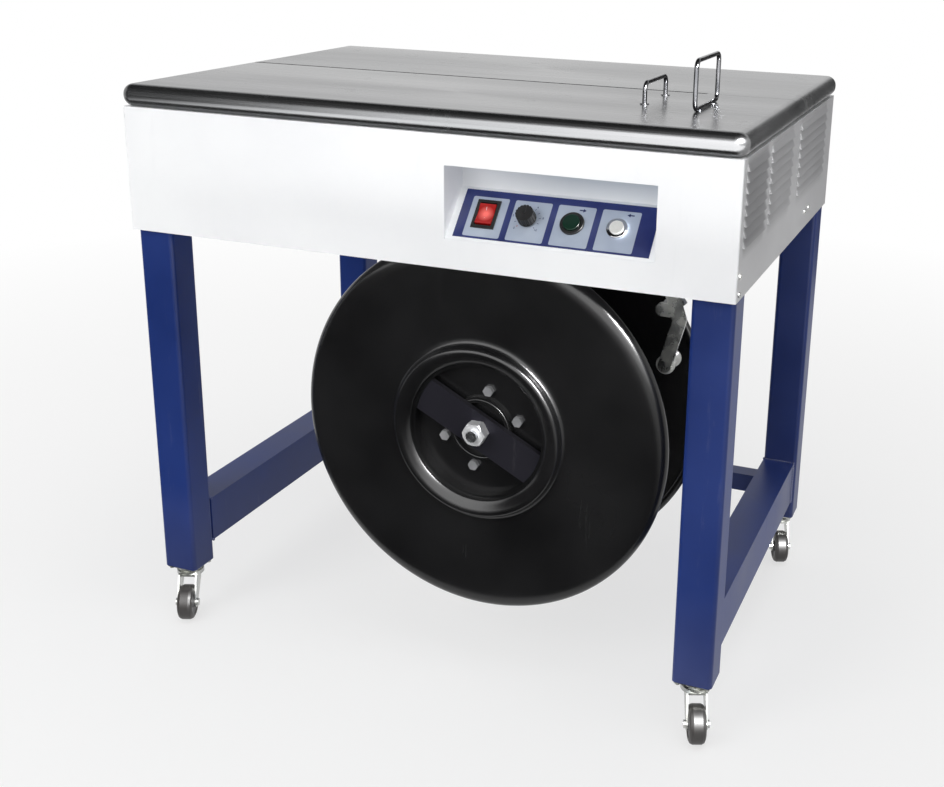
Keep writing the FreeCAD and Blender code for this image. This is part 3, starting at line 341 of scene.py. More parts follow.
def wheel_finish(side, end):
    """Black tread outside the hub's radius and grey moulded nylon inside it, about one wheel's axle."""
    low, high = (Vector(corner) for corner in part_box(f"caster_wheel_{end}_{side}"))
    axle = (low + high) / 2
    trail = axle - Vector((leg_xs[side], leg_ys[end], 0)) * mm
    along = Vector((trail.x, trail.y, 0)).normalized()
    material, tree, surface = start_material(f"tread_and_hub_{end}_{side}", IOR=1.5)
    worn = age(tree, 30.0, 1200.0, 70.0)
    centred = vector_maths(tree, "SUBTRACT", local(tree), tuple(axle))["Vector"]
    forward = vector_maths(tree, "DOT_PRODUCT", centred, tuple(along))["Value"]
    rise = add(tree, "ShaderNodeSeparateXYZ", Vector=centred).outputs["Z"]
    flat = add(tree, "ShaderNodeCombineXYZ", X=forward, Y=rise).outputs["Vector"]
    radius = vector_maths(tree, "LENGTH", flat)["Value"]
    hub = spread(tree, radius, hub_radius, hub_radius - hub_edge)
    tread = blend(tree, worn["Cloud"], tone(22, 20, 20), tone(34, 31, 30))
    nylon = blend(tree, worn["Cloud"], tone(112, 112, 114), tone(130, 130, 131))
    clean = blend(tree, hub, tread, nylon)
    dusty = blend(tree, maths(tree, "MULTIPLY", worn["Dust"], 0.15), clean, tone(118, 110, 104))
    feed(tree, surface.inputs["Base Color"], dusty)
    feed(tree, surface.inputs["Roughness"], spread(tree, worn["Marks"], 0.0, 1.0, 0.45, 0.65))
    emboss(tree, surface, worn["Grit"], 0.3, 0.1 * mm)
    return material


for end, side in corners:
    dress(wheel_finish(side, end), f"caster_wheel_{end}_{side}")


def choose_faces(piece, test):
    """In edit mode, selects the faces whose middle and normal pass the test."""
    alone(piece)
    bpy.ops.object.mode_set(mode="EDIT")
    bpy.ops.mesh.select_mode(type="FACE")
    bpy.ops.mesh.select_all(action="DESELECT")
    bpy.ops.object.mode_set(mode="OBJECT")
    for face in piece.data.polygons:
        face.select = test(face.center, face.normal)
    bpy.ops.object.mode_set(mode="EDIT")


def soften_top(piece, offset, segments):
    """Bevels the edges of the piece's upper face."""
    choose_faces(piece, lambda middle, normal: normal.z > 0.9)
    bpy.ops.mesh.bevel(offset=offset, segments=segments, affect="EDGES")
    bpy.ops.object.mode_set(mode="OBJECT")


def standing_disc(radius, height, steps=32):
    """A plain disc or prism standing on the origin."""
    bpy.ops.mesh.primitive_cylinder_add(
        vertices=steps, radius=radius, depth=height, location=(0, 0, height / 2)
    )
    return bpy.context.object


def hexagon_screw(flats, height):
    """A hexagon head with a chamfered top on a thin round washer, standing on the origin."""
    washer = flats * 0.12
    bpy.ops.mesh.primitive_cylinder_add(
        vertices=6, radius=flats / math.sqrt(3), depth=height, location=(0, 0, washer + height / 2)
    )
    head = bpy.context.object
    soften_top(head, flats * 0.1, 2)
    ring = standing_disc(flats * 0.66, washer, 28)
    soften_top(ring, washer * 0.3, 2)
    return joined([head, ring])


def set_out(pattern, spots, out, turn=0.0):
    """Copies a pattern to each spot, facing out, and joins the copies. The pattern goes."""
    facing = Vector(out).to_track_quat("Z", "Y") @ Quaternion((0, 0, 1), turn)
    copies = []
    for spot in spots:
        piece = pattern.copy()
        piece.data = pattern.data.copy()
        bpy.context.scene.collection.objects.link(piece)
        piece.matrix_world = Matrix.Translation(Vector(spot) * mm) @ facing.to_matrix().to_4x4() @ (
            pattern.matrix_world
        )
        alone(piece)
        bpy.ops.object.transform_apply(location=True, rotation=True, scale=True)
        copies.append(piece)
    bpy.data.objects.remove(pattern)
    return joined(copies)


plate_underside = 77
screw_half_x, screw_half_y = 20, 18
spots = [
    (x + across * screw_half_x, y + along * screw_half_y, plate_underside)
    for x in leg_xs.values()
    for y in leg_ys.values()
    for across in (-1, 1)
    for along in (-1, 1)
]
screws = set_out(hexagon_screw(6.4 * mm, 2.6 * mm), spots, (0, 0, -1))
finish(screws, "caster_screws", zinc_plate, "root")

# Upper frame and bracket: tube rails between the legs and the plate that the reel hangs on.
# Welded to the legs and enamelled with them.
dress(blue_enamel, "upper_frame", "reel_bracket")

# Base tray and cable gland: grey sheet that closes the cabinet below, with a moulded gland for the lead.
# The tray lies on the panels' flanges, and the gland is clamped by its nut.
grey_powder = painted("grey_powder_coat", tone(206, 205, 207), tone(188, 187, 190), 0.42)
dress(grey_powder, "base_tray")
black_plastic = moulded("black_plastic", tone(24, 24, 25), tone(15, 15, 16), 0.32, 0.55)
dress(black_plastic, "mains_gland")

# Strap reel: two black flanges with rolled rims on a recessed drum, turning on a fixed bracket.
# Spun and pressed sheet with satin black enamel, which shows faint rings from the spinning.
reel_x, reel_z = 70 * mm, 362 * mm
reel_black, tree, surface = start_material("satin_black_enamel", IOR=1.5)
surface.inputs["Specular IOR Level"].default_value = 0.4
worn = age(tree, 7.0, 800.0, 40.0)
turned = add(tree, "ShaderNodeMapping", Vector=local(tree), Location=(-reel_x, 0.0, -reel_z))
rings = add(
    tree,
    "ShaderNodeTexWave",
    Vector=turned.outputs["Vector"],
    Scale=180.0,
    Distortion=1.5,
    Detail=2.0,
)
rings.wave_type = "RINGS"
rings.rings_direction = "Y"
feed(tree, surface.inputs["Base Color"], blend(tree, worn["Cloud"], tone(19, 19, 20), tone(28, 28, 29)))
set_sheen(tree, surface, worn, 0.20, 0.30)
relief = maths(tree, "ADD", maths(tree, "MULTIPLY", rings.outputs["Fac"], 0.3), worn["Grit"])
emboss(tree, surface, relief, 0.05, 0.1 * mm)
dress(reel_black, "reel_drum", "reel_front_flange", "reel_rear_flange")


def turned_shell(profile, axis_x, axis_z, steps):
    """Turns a profile of radius and y in mm about a line along Y, one ring after another."""
    (radius, y), *rest = profile
    bpy.ops.mesh.primitive_circle_add(
        vertices=steps,
        radius=radius * mm,
        location=(axis_x, y * mm, axis_z),
        rotation=(math.pi / 2, 0, 0),
    )
    shell = bpy.context.object
    alone(shell)
    bpy.ops.object.transform_apply(location=True, rotation=True, scale=True)
    bpy.ops.object.mode_set(mode="EDIT")
    bpy.ops.mesh.select_all(action="SELECT")
    for next_radius, next_y in rest:
        bpy.ops.mesh.extrude_edges_move(TRANSFORM_OT_translate={"value": (0, (next_y - y) * mm, 0)})
        grow = next_radius / radius
        bpy.ops.transform.resize(value=(grow, 1, grow), center_override=(axis_x, 0, axis_z))
        radius, y = next_radius, next_y
    bpy.ops.mesh.select_all(action="SELECT")
    bpy.ops.mesh.remove_doubles(threshold=0.01 * mm)
    bpy.ops.mesh.normals_make_consistent(inside=False)
    bpy.ops.object.mode_set(mode="OBJECT")
    return shell


# The front flange is pressed: a round bead about the drum, a flat web and a wide rolled shoulder.
bead = [
    (98.2, -236.9),
    (98.3, -241.6),
    (99.6, -243.8),
    (105.0, -246.3),
    (109.5, -248.6),
    (113.0, -249.9),
    (116.2, -250.1),
    (119.0, -249.2),
    (121.0, -247.2),
    (122.2, -244.2),
    (123.2, -240.8),
    (125.2, -238.2),
    (128.6, -237.0),
]
web_y = -236.9
web = [(radius, web_y) for radius in (134.0, 170.0, 208.0, 240.0)]
shoulder = [
    (246.0, -236.7),
    (251.2, -236.0),
    (256.2, -234.7),
    (260.4, -232.6),
    (263.6, -229.8),
    (265.4, -226.4),
]
hem = [(266.0, -223.4), (265.6, -221.4), (264.2, -220.6)]
flange = turned_shell(bead + web + shoulder + hem, reel_x, reel_z, 192)
sheet = flange.modifiers.new("sheet", "SOLIDIFY")
sheet.thickness = 2.4 * mm
sheet.offset = -1
apply_all(flange)
finish(flange, "front_flange_pressing", reel_black, "reel", 50)
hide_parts("reel_front_flange")

# A small round bead runs about the drum's boss, below the bar.
boss_radius, boss_face_y = 42, -227.0
around = [math.radians(step) for step in range(0, 361, 45)]
edge_bead = [
    (boss_radius + 1.6 * math.cos(turn), boss_face_y + 1.4 * math.sin(turn)) for turn in around
]
boss_bead = turned_shell(edge_bead, reel_x, reel_z, 96)
finish(boss_bead, "boss_ring_bead", reel_black, "reel", 60)
bar_black = painted("reel_bar_paint", tone(28, 27, 36), tone(20, 19, 27), 0.5, 0.3, 0.08)
dress(bar_black, "reel_crossbar")
ground_steel = plated("ground_steel", tone(172, 173, 176), tone(140, 141, 145), 0.22, 0.4, 90.0)
bright_plate = plated("bright_plate", tone(226, 226, 228), tone(196, 197, 200), 0.06, 0.2, 40.0, 0.04)
bolt_plate = plated(
    "dull_zinc_plate", tone(206, 206, 208), tone(176, 177, 180), 0.16, 0.3, 40.0, 0.06, metal=0.5
)
nut_plate = plated(
    "fresh_zinc_plate", tone(240, 240, 241), tone(222, 223, 225), 0.12, 0.24, 40.0, 0.06, metal=0.3
)
dress(ground_steel, "reel_bearings", "reel_shaft")
dress(nut_plate, "reel_nut")
dress(bolt_plate, "hub_bolts")

# Brake lever: a flat zinc plated link on a clevis under the tray, with a white guide roller at its tip.
# The link's arm carries the pad that drags on the rear flange.
dress(zinc_plate, "brake_lever", "brake_clevis")
white_plastic = moulded("white_plastic", tone(236, 236, 232), tone(226, 226, 221), 0.25, 0.42, 0.15)
dress(white_plastic, "guide_roller")

# Sealing head and drive: a machined casting that carries the cams, grippers and feed roller,
# with a flanged gear motor behind it and the control box on the tray.
cast_iron = plated("machined_casting", tone(118, 119, 122), tone(84, 85, 88), 0.35, 0.6, 60.0, 0.5)
motor_enamel = painted("motor_enamel", tone(92, 96, 102), tone(74, 78, 84), 0.4)
rubber_cover = moulded("rubber_cover", tone(78, 77, 76), tone(60, 59, 58), 0.6, 0.8, 0.5, 900.0)
dress(cast_iron, "head_frame")
dress(ground_steel, "cam_shaft", "press_platen", "strap_gripper", "slide_anvil")
dress(motor_enamel, "drive_motor")
motor_x, motor_z = 260 * mm, 690 * mm
fin_root, fin_tip, fin_pitch, fin_count = 32.6, 34.9, 7.4 * mm, 12
fin_profile = [(fin_root, 84), (fin_tip, 84.4), (fin_tip, 85.6), (fin_root, 86), (fin_root, 84)]
fins = repeat(turned_shell(fin_profile, motor_x, motor_z, 64), (0, fin_pitch, 0), fin_count)
finish(fins, "motor_fins", motor_enamel, "root")
dress(rubber_cover, "feed_roller")
dress(grey_powder, "control_box")

# Cabinet: front and back panels in off-white powder coat, grey side panels with pressed louvres.
# The side panels' grey is partly painted shade, and painted shade darkens their louvre banks.
# Folded steel sheet, fixed to the legs with pan-head screws.
white_powder = painted("white_powder_coat", tone(248, 249, 250), tone(242, 243, 245), 0.4, 0.2)
dress(white_powder, "front_panel", "back_panel")

# The recess has the same coat, with painted shade that darkens it under its ceiling and towards the
# right.
recess_powder, tree, surface = start_material("recess_powder_coat", IOR=1.5)
worn = age(tree, 4.0, 650.0, 38.0)
parts = add(tree, "ShaderNodeSeparateXYZ", Vector=local(tree)).outputs
towards_right = spread(tree, parts["X"], 55 * mm, 200 * mm, 0.25, 1.0)
towards_ceiling = spread(tree, parts["Z"], 690 * mm, 722 * mm)
# Painted shade: strongest under the ceiling and towards the right, it blends the coat to blue-grey.
painted_recess_shade = maths(tree, "MULTIPLY", towards_right, towards_ceiling)
plain = blend(tree, worn["Cloud"], tone(240, 242, 244), tone(247, 248, 249))
feed(tree, surface.inputs["Base Color"], blend(tree, painted_recess_shade, plain, tone(192, 199, 208)))
feed(tree, surface.inputs["Roughness"], spread(tree, worn["Cloud"], 0.0, 1.0, 0.42, 0.56))
emboss(tree, surface, worn["Grit"], 0.2, 0.15 * mm)
dress(recess_powder, "control_recess")

# The side panels' coat: a ramp from front to back gives each louvre bank its own share of painted shade,
# the front bank darkest.
panel_half = 300 * mm
side_shaded_powder, tree, surface = start_material("side_panel_shaded_powder_coat", IOR=1.5)
worn = age(tree, 4.0, 650.0, 38.0)
parts = add(tree, "ShaderNodeSeparateXYZ", Vector=local(tree)).outputs
length_share = spread(tree, parts["Y"], -panel_half, panel_half)
bank_shade = add(tree, "ShaderNodeValToRGB", Fac=length_share)
stops = bank_shade.color_ramp.elements
stops[0].color = (0.0, 0.0, 0.0, 1.0)
stops[1].color = (0.1, 0.1, 0.1, 1.0)
for share, value in (
    (0.025, 0.0),
    (0.045, 0.85),
    (0.205, 0.65),
    (0.228, 0.0),
    (0.250, 0.0),
    (0.270, 0.42),
    (0.470, 0.36),
    (0.490, 0.0),
    (0.560, 0.0),
    (0.585, 0.36),
    (0.895, 0.42),
    (0.915, 0.08),
):
    stops.new(share).color = (value, value, value, 1.0)
above_foot = spread(tree, parts["Z"], 652 * mm, 674 * mm)
below_top = spread(tree, parts["Z"], 782 * mm, 766 * mm)
bank_height = maths(tree, "MULTIPLY", above_foot, below_top)
shade_share = maths(tree, "MULTIPLY", bank_shade.outputs["Color"], bank_height)
# Painted shade: the plain coat is a darker grey than the front panels' for the sides' shade, and the
# banks go darker still.
plain = blend(tree, worn["Cloud"], tone(194, 194, 196), tone(206, 206, 208))
feed(tree, surface.inputs["Base Color"], blend(tree, shade_share, plain, tone(108, 108, 111)))
feed(tree, surface.inputs["Roughness"], spread(tree, worn["Cloud"], 0.0, 1.0, 0.42, 0.56))
emboss(tree, surface, worn["Grit"], 0.25, 0.15 * mm)
dress(side_shaded_powder, "right_side_panel", "left_side_panel")


def pan_screw(radius, height):
    """A domed head with a cross recess, standing on the origin."""
    head = standing_disc(radius, height)
    soften_top(head, height * 0.7, 4)
    for turn in (0, math.pi / 2):
        bpy.ops.mesh.primitive_cube_add(size=1, location=(0, 0, height), rotation=(0, 0, turn))
        blade = bpy.context.object
        blade.scale = (radius * 1.1, radius * 0.22, height)
        cross = head.modifiers.new("cross", "BOOLEAN")
        cross.object = blade
        apply_all(head)
        bpy.data.objects.remove(blade)
    return head


panel_screw = (3.6 * mm, 2.2 * mm)
side_face, back_face = 427, 306.7
side_places = ((-286, 614), (-286, 636), (118, 630), (148, 630))
for side, out, turn in (("right", 1, 0.7), ("left", -1, 0.2)):
    spots = [(out * side_face, y, z) for y, z in side_places]
    heads = set_out(pan_screw(*panel_screw), spots, (out, 0, 0), turn)
    finish(heads, f"{side}_panel_screws", zinc_plate, "root")
spots = [(x, back_face, z) for x in (-415, -140, 140, 415) for z in (619, 740)]
heads = set_out(pan_screw(*panel_screw), spots, (0, 1, 0), 0.9)
finish(heads, "back_panel_screws", zinc_plate, "root")

# Paint bridges the joint between the panel's opening and the recess box behind it.
seam_middle = Vector((189.5, -297.36, 689.9)) * mm
seam_wide, seam_high, seam_strip, seam_deep = 280.4 * mm, 98.6 * mm, 1.8 * mm, 0.3 * mm
bpy.ops.mesh.primitive_plane_add(size=1, location=seam_middle, rotation=(math.pi / 2, 0, 0))
seam = bpy.context.object
alone(seam)
bpy.ops.object.mode_set(mode="EDIT")
bpy.ops.mesh.select_all(action="SELECT")
bpy.ops.transform.resize(value=(seam_wide, 1, seam_high))
bpy.ops.mesh.inset(thickness=seam_strip)
bpy.ops.mesh.delete(type="ONLY_FACE")
bpy.ops.mesh.select_all(action="SELECT")
bpy.ops.mesh.extrude_region_move(TRANSFORM_OT_translate={"value": (0, seam_deep, 0)})
bpy.ops.mesh.select_all(action="SELECT")
bpy.ops.mesh.normals_make_consistent(inside=False)
bpy.ops.object.mode_set(mode="OBJECT")
finish(seam, "recess_paint_seam", white_powder, "root")

# Control overlay: a printed foil on the slope of the recess, dark blue with four grey-lilac fields.
# It is stuck down round the controls, which come through it.
slope_turn = math.radians(47.63)
slope_middle = Vector((0.0, -269.342, 672.5)) * mm
control_xs = {"rocker": 97, "timer": 153, "green": 212, "white": 270}
field_count, field_first, field_pitch = 4, 98 * mm, 57.7 * mm
field_half_x, field_half_y = 24.8 * mm, 28.8 * mm
field_round = 2.5 * mm
field_shift = -3.5 * mm
print_blur = 0.4 * mm


def on_slope_coordinates(tree):
    """Object coordinates moved to the slope: X along it, Y up it."""
    centred = vector_maths(tree, "SUBTRACT", local(tree), tuple(slope_middle))["Vector"]
    laid = add(tree, "ShaderNodeVectorRotate", Vector=centred, Angle=-slope_turn)
    laid.rotation_type = "X_AXIS"
    parts = add(tree, "ShaderNodeSeparateXYZ", Vector=laid.outputs["Vector"]).outputs
    return parts["X"], parts["Y"]


overlay_foil, tree, surface = start_material("printed_foil", IOR=1.46)
worn = age(tree, 20.0, 1500.0, 80.0)
along, up = on_slope_coordinates(tree)
number = maths(tree, "DIVIDE", maths(tree, "SUBTRACT", along, field_first), field_pitch)
nearest = maths(tree, "MAXIMUM", maths(tree, "ROUND", number), 0.0)
nearest = maths(tree, "MINIMUM", nearest, field_count - 1.0)
aside = maths(tree, "MULTIPLY", maths(tree, "SUBTRACT", number, nearest), field_pitch)
past = []
for distance, half in (
    (aside, field_half_x),
    (maths(tree, "SUBTRACT", up, field_shift), field_half_y),
):
    off = maths(tree, "ABSOLUTE", distance)
    past.append(maths(tree, "MAXIMUM", maths(tree, "SUBTRACT", off, half - field_round), 0.0))
past_x, past_y = past
corner = add(tree, "ShaderNodeCombineXYZ", X=past_x, Y=past_y).outputs["Vector"]
corner_reach = vector_maths(tree, "LENGTH", corner)["Value"]
inside = spread(tree, corner_reach, field_round, field_round - print_blur)
blue_print = blend(tree, worn["Cloud"], tone(26, 38, 98), tone(34, 50, 118))
field_print = blend(tree, worn["Cloud"], tone(164, 175, 194), tone(178, 189, 205))
feed(tree, surface.inputs["Base Color"], blend(tree, inside, blue_print, field_print))
feed(tree, surface.inputs["Roughness"], spread(tree, worn["Cloud"], 0.0, 1.0, 0.3, 0.42))
relief = maths(tree, "ADD", worn["Grit"], maths(tree, "MULTIPLY", inside, -0.5))
emboss(tree, surface, relief, 0.2, 0.1 * mm)
dress(overlay_foil, "control_overlay")


def lay_on_slope(piece, x, up, out, tilt_deg=0.0, turn_deg=0.0):
    """Puts a piece that was made flat round the origin at its place on the slope."""
    slope = Matrix.Translation(slope_middle) @ Matrix.Rotation(slope_turn, 4, "X")
    spot = Matrix.Translation(Vector((x, up, out)) * mm)
    tilt = Matrix.Rotation(math.radians(tilt_deg), 4, "X")
    turn = Matrix.Rotation(math.radians(turn_deg), 4, "Z")
    piece.matrix_world = slope @ spot @ tilt @ turn @ piece.matrix_world
    alone(piece)
    bpy.ops.object.transform_apply(location=True, rotation=True, scale=True)
    return piece


ink_depth = 0.04 * mm


def ink_bar(length, width):
    """A flat printed bar along X round the origin."""
    bpy.ops.mesh.primitive_plane_add(size=1)
    bar = bpy.context.object
    bpy.ops.object.mode_set(mode="EDIT")
    bpy.ops.mesh.select_all(action="SELECT")
    bpy.ops.transform.resize(value=(length * mm, width * mm, 1))
    bpy.ops.mesh.extrude_region_move(TRANSFORM_OT_translate={"value": (0, 0, ink_depth)})
    bpy.ops.object.mode_set(mode="OBJECT")
    return bar


def ink_letter(sign, size):
    """One printed number or sign, centred on the origin."""
    bpy.ops.object.text_add()
    letter = bpy.context.object
    letter.data.body = sign
    letter.data.size = size * mm
    letter.data.extrude = ink_depth / 2
    letter.data.align_x = "CENTER"
    letter.data.align_y = "CENTER"
    alone(letter)
    bpy.ops.object.convert(target="MESH")
    return bpy.context.object


def ink_arrow(length, turn_deg):
    """A solid arrow head on a short bar."""
    bpy.ops.mesh.primitive_circle_add(vertices=3, radius=length * 0.36 * mm, fill_type="NGON")
    head = bpy.context.object
    bpy.ops.object.mode_set(mode="EDIT")
    bpy.ops.mesh.select_all(action="SELECT")
    bpy.ops.transform.rotate(value=math.radians(90), orient_axis="Z", center_override=(0, 0, 0))
    bpy.ops.mesh.extrude_region_move(TRANSFORM_OT_translate={"value": (0, 0, ink_depth)})
    bpy.ops.object.mode_set(mode="OBJECT")
    bar = ink_bar(length * 0.7, length * 0.2)
    bar.location.x = -length * 0.45 * mm
    arrow = joined([head, bar])
    arrow.matrix_world = Matrix.Rotation(math.radians(turn_deg), 4, "Z") @ arrow.matrix_world
    return arrow


print_plane = 0.82
blue_ink = moulded("blue_screen_ink", tone(30, 42, 98), tone(24, 36, 84), 0.35, 0.45, 0.1)
red_ink = moulded("red_screen_ink", tone(176, 34, 34), tone(160, 26, 28), 0.35, 0.45, 0.1)
dial_start_deg, dial_step_deg, dial_last = 225, 27, 10
tick_ring, number_ring = 15.8, 20.2


def on_dial(number, ring):
    """The place on the slope of one of the dial's numbers, and the angle it lies at."""
    angle = dial_start_deg - dial_step_deg * number
    turn = math.radians(angle)
    return (control_xs["timer"] + ring * math.cos(turn), ring * math.sin(turn), print_plane), angle


start_spot, start_angle = on_dial(0, tick_ring)
start_tick = lay_on_slope(ink_bar(2.6, 0.6), *start_spot, turn_deg=start_angle)
finish(start_tick, "timer_scale_start", red_ink, "root")
scale_marks = []
for number in range(1, dial_last + 1):
    spot, angle = on_dial(number, tick_ring)
    scale_marks.append(lay_on_slope(ink_bar(2.6, 0.6), *spot, turn_deg=angle))
for number in range(0, dial_last + 1, 2):
    spot, angle = on_dial(number, number_ring)
    scale_marks.append(lay_on_slope(ink_letter(str(number), 4.2), *spot))
finish(joined(scale_marks), "timer_scale", blue_ink, "root")
arrow_right, arrow_up = 11, 20
arrows = [
    lay_on_slope(ink_arrow(8.0, turn), control_xs[button] + arrow_right, arrow_up, print_plane)
    for button, turn in (("green", 0), ("white", 180))
]
finish(joined(arrows), "button_arrows", blue_ink, "root")

# Controls: rocker switch in its housing, fluted timer knob, and two push buttons in bezels.
# Moulded parts held from behind the slope by nuts. A lamp behind the red rocker lights its middle.
red_plastic, tree, surface = start_material("red_rocker_plastic", IOR=1.49)
worn = age(tree, 60.0, 1500.0, 90.0)
along, up = on_slope_coordinates(tree)
aside = maths(tree, "SUBTRACT", along, control_xs["rocker"] * mm)
from_lamp = add(tree, "ShaderNodeCombineXYZ", X=aside, Y=up).outputs["Vector"]
far = vector_maths(tree, "LENGTH", from_lamp)["Value"]
glow = spread(tree, far, 11 * mm, 2 * mm)
lit_red = blend(tree, glow, tone(176, 28, 26), tone(238, 112, 104))
lamp_red = blend(tree, glow, tone(60, 2, 2), tone(255, 120, 110))
feed(tree, surface.inputs["Base Color"], lit_red)
feed(tree, surface.inputs["Emission Color"], lamp_red)
surface.inputs["Emission Strength"].default_value = 0.25
feed(tree, surface.inputs["Roughness"], spread(tree, worn["Cloud"], 0.0, 1.0, 0.14, 0.24))
emboss(tree, surface, worn["Grit"], 0.06, 0.05 * mm)
dress(red_plastic, "power_rocker")
green_plastic = moulded("green_button_plastic", tone(24, 58, 43), tone(17, 45, 33), 0.15, 0.3, 0.1)
dress(black_plastic, "switch_housing", "timer_knob", "green_button_bezel")
dress(green_plastic, "green_button")
dress(bright_plate, "white_button_bezel")
dress(white_plastic, "white_button")
dress(zinc_plate, "timer_body")
white_ink = moulded("white_screen_ink", tone(232, 232, 230), tone(220, 220, 218), 0.35, 0.45, 0.1)
on_mark = lay_on_slope(ink_letter("I", 6.0), control_xs["rocker"], 6.1, 4.75, tilt_deg=16.1)
off_mark = lay_on_slope(ink_letter("O", 6.0), control_xs["rocker"], -7.8, 2.8, tilt_deg=-0.1)
finish(joined([on_mark, off_mark]), "rocker_marks", white_ink, "rocker")
pointer = lay_on_slope(ink_bar(8.4, 0.9), control_xs["timer"], 4.9, 17.62, turn_deg=90)
finish(pointer, "knob_pointer_line", white_ink, "knob")

# Work table: two halves of stainless sheet brushed along the table, with rolled edges.
# The front half is fixed, and the rear half lifts on its hinges as a lid.
drawn, given, result = start_group(
    "drawn_grain", {"Grain Scale": 900.0, "Band Scale": 8.0}, ("Grain", "Band")
)
stretched = add(drawn, "ShaderNodeMapping", Vector=local(drawn), Scale=(0.008, 1.0, 1.0))
lines = add(
    drawn,
    "ShaderNodeTexNoise",
    Vector=stretched.outputs["Vector"],
    Scale=given.outputs["Grain Scale"],
    Detail=3.0,
)
feed(drawn, result.inputs["Grain"], lines.outputs["Fac"])
broad = add(drawn, "ShaderNodeMapping", Vector=local(drawn), Scale=(0.10, 1.0, 1.0))
bands = add(
    drawn,
    "ShaderNodeTexNoise",
    Vector=broad.outputs["Vector"],
    Scale=given.outputs["Band Scale"],
    Detail=2.0,
)
feed(drawn, result.inputs["Band"], spread(drawn, bands.outputs["Fac"], 0.35, 0.65))

stainless, tree, surface = start_material("brushed_stainless", Metallic=1.0, Anisotropic=0.4)
brush = tree.nodes.new("ShaderNodeGroup")
brush.node_tree = drawn
worn = age(tree, 12.0, 900.0, 25.0)
tint = blend(tree, brush.outputs["Band"], tone(106, 107, 108), tone(136, 136, 137))
lined = maths(tree, "MULTIPLY", brush.outputs["Grain"], 0.3)
feed(tree, surface.inputs["Base Color"], blend(tree, lined, tint, tone(90, 91, 93)))
rub = maths(tree, "ADD", brush.outputs["Grain"], maths(tree, "MULTIPLY", worn["Marks"], 0.5))
feed(tree, surface.inputs["Roughness"], spread(tree, rub, 0.2, 1.4, 0.22, 0.36))
emboss(tree, surface, brush.outputs["Grain"], 0.3, 0.05 * mm)
dress(stainless, "table_front_plate", "table_rear_lid")
dress(zinc_plate, "lid_hinge_fixed_leaves", "lid_hinge_moving_leaves", "lid_hinge_pins")
hinge_x, leaf_face, leaf_z = 280, 308.2, 757
leaf_spots = [(side * hinge_x + dx, leaf_face, leaf_z) for side in (-1, 1) for dx in (-20, 20)]
leaf_screws = set_out(pan_screw(2.8 * mm, 1.4 * mm), leaf_spots, (0, 1, 0), 0.5)
finish(leaf_screws, "hinge_screws", zinc_plate, "root")

# Strap guides: two loops of bright round wire standing on the front half of the table.
# Each foot passes through the sheet and has a small collar on it.
bright_wire = plated("bright_wire", tone(112, 112, 114), tone(84, 85, 88), 0.14, 0.28, 30.0, 0.05)
dress(bright_wire, "wire_loop_low", "wire_loop_tall")


def foot_collar(radius, height):
    """A thin turned washer with rounded edges."""
    collar = standing_disc(radius, height)
    soften_top(collar, height * 0.4, 3)
    return collar


table_z = 805
feet = [(x, y, table_z) for x, y in ((256, -132.3), (256, -38.3), (333, -152.3), (333, -84.3))]
collars = set_out(foot_collar(6.0 * mm, 1.4 * mm), feet, (0, 0, 1))
finish(collars, "wire_loop_collars", bright_wire, "root")

# Photo studio: pale floor and surround, soft lights, and black and white cards that shape reflections.
# The floor fades to plain white with distance, and keeps the shadow near the machine.


def seen_directly(tree):
    """One for rays that come from the camera, a reflection or a clear body, and nought for the rest."""
    rays = add(tree, "ShaderNodeLightPath").outputs
    indirect = maths(tree, "MAXIMUM", rays["Is Glossy Ray"], rays["Is Transmission Ray"])
    return maths(tree, "MAXIMUM", rays["Is Camera Ray"], indirect)


plain_white = (1.0, 1.0, 1.0, 1.0)
floor_radius, floor_z = 40.0, -0.0005
bpy.ops.mesh.primitive_circle_add(
    vertices=128, radius=floor_radius, fill_type="NGON", location=(0, 0, floor_z)
)
floor = bpy.context.object
floor.name = "studio_floor"
floor_paint, tree, surface = start_material("studio_floor_paint", Roughness=0.9)
surface.inputs["Specular IOR Level"].default_value = 0.0
surface.inputs["Base Color"].default_value = (0.82, 0.82, 0.82, 1.0)
reach = vector_maths(tree, "LENGTH", local(tree))["Value"]
whiteness = spread(tree, reach, 0.6, 2.6, 0.66, 1.0)
white = add(tree, "ShaderNodeEmission", Color=plain_white, Strength=1.0)
fade = add(tree, "ShaderNodeMixShader", Fac=maths(tree, "MULTIPLY", whiteness, seen_directly(tree)))
feed(tree, fade.inputs[1], surface.outputs["BSDF"])
feed(tree, fade.inputs[2], white.outputs["Emission"])
output = next(node for node in tree.nodes if node.type == "OUTPUT_MATERIAL")
feed(tree, output.inputs["Surface"], fade.outputs["Shader"])
floor.data.materials.append(floor_paint)


def card(name, low, high, strength, solid_to, clear_from):
    """A card that only reflections see. It spans two corners in metres, and fades out along X."""
    centre = (Vector(low) + Vector(high)) / 2
    bpy.ops.mesh.primitive_plane_add(size=1, location=centre)
    board = bpy.context.object
    board.name = name
    width, depth, height = (end - start for start, end in zip(low, high))
    board.scale = (width, math.hypot(depth, height), 1)
    board.rotation_euler.x = math.atan2(height, depth)
    paint = bpy.data.materials.new(name)
    paint.use_nodes = True
    tree = paint.node_tree
    tree.nodes.clear()
    spot = add(tree, "ShaderNodeNewGeometry").outputs["Position"]
    along = add(tree, "ShaderNodeSeparateXYZ", Vector=spot).outputs["X"]
    glow = add(tree, "ShaderNodeEmission", Color=plain_white, Strength=strength)
    clear = add(tree, "ShaderNodeBsdfTransparent")
    fade = add(tree, "ShaderNodeMixShader", Fac=spread(tree, along, solid_to, clear_from))
    feed(tree, fade.inputs[1], glow.outputs["Emission"])
    feed(tree, fade.inputs[2], clear.outputs["BSDF"])
    output = add(tree, "ShaderNodeOutputMaterial")
    feed(tree, output.inputs["Surface"], fade.outputs["Shader"])
    board.data.materials.append(paint)
    board.visible_camera = False
    board.visible_diffuse = False
    board.visible_transmission = False
    board.visible_shadow = False


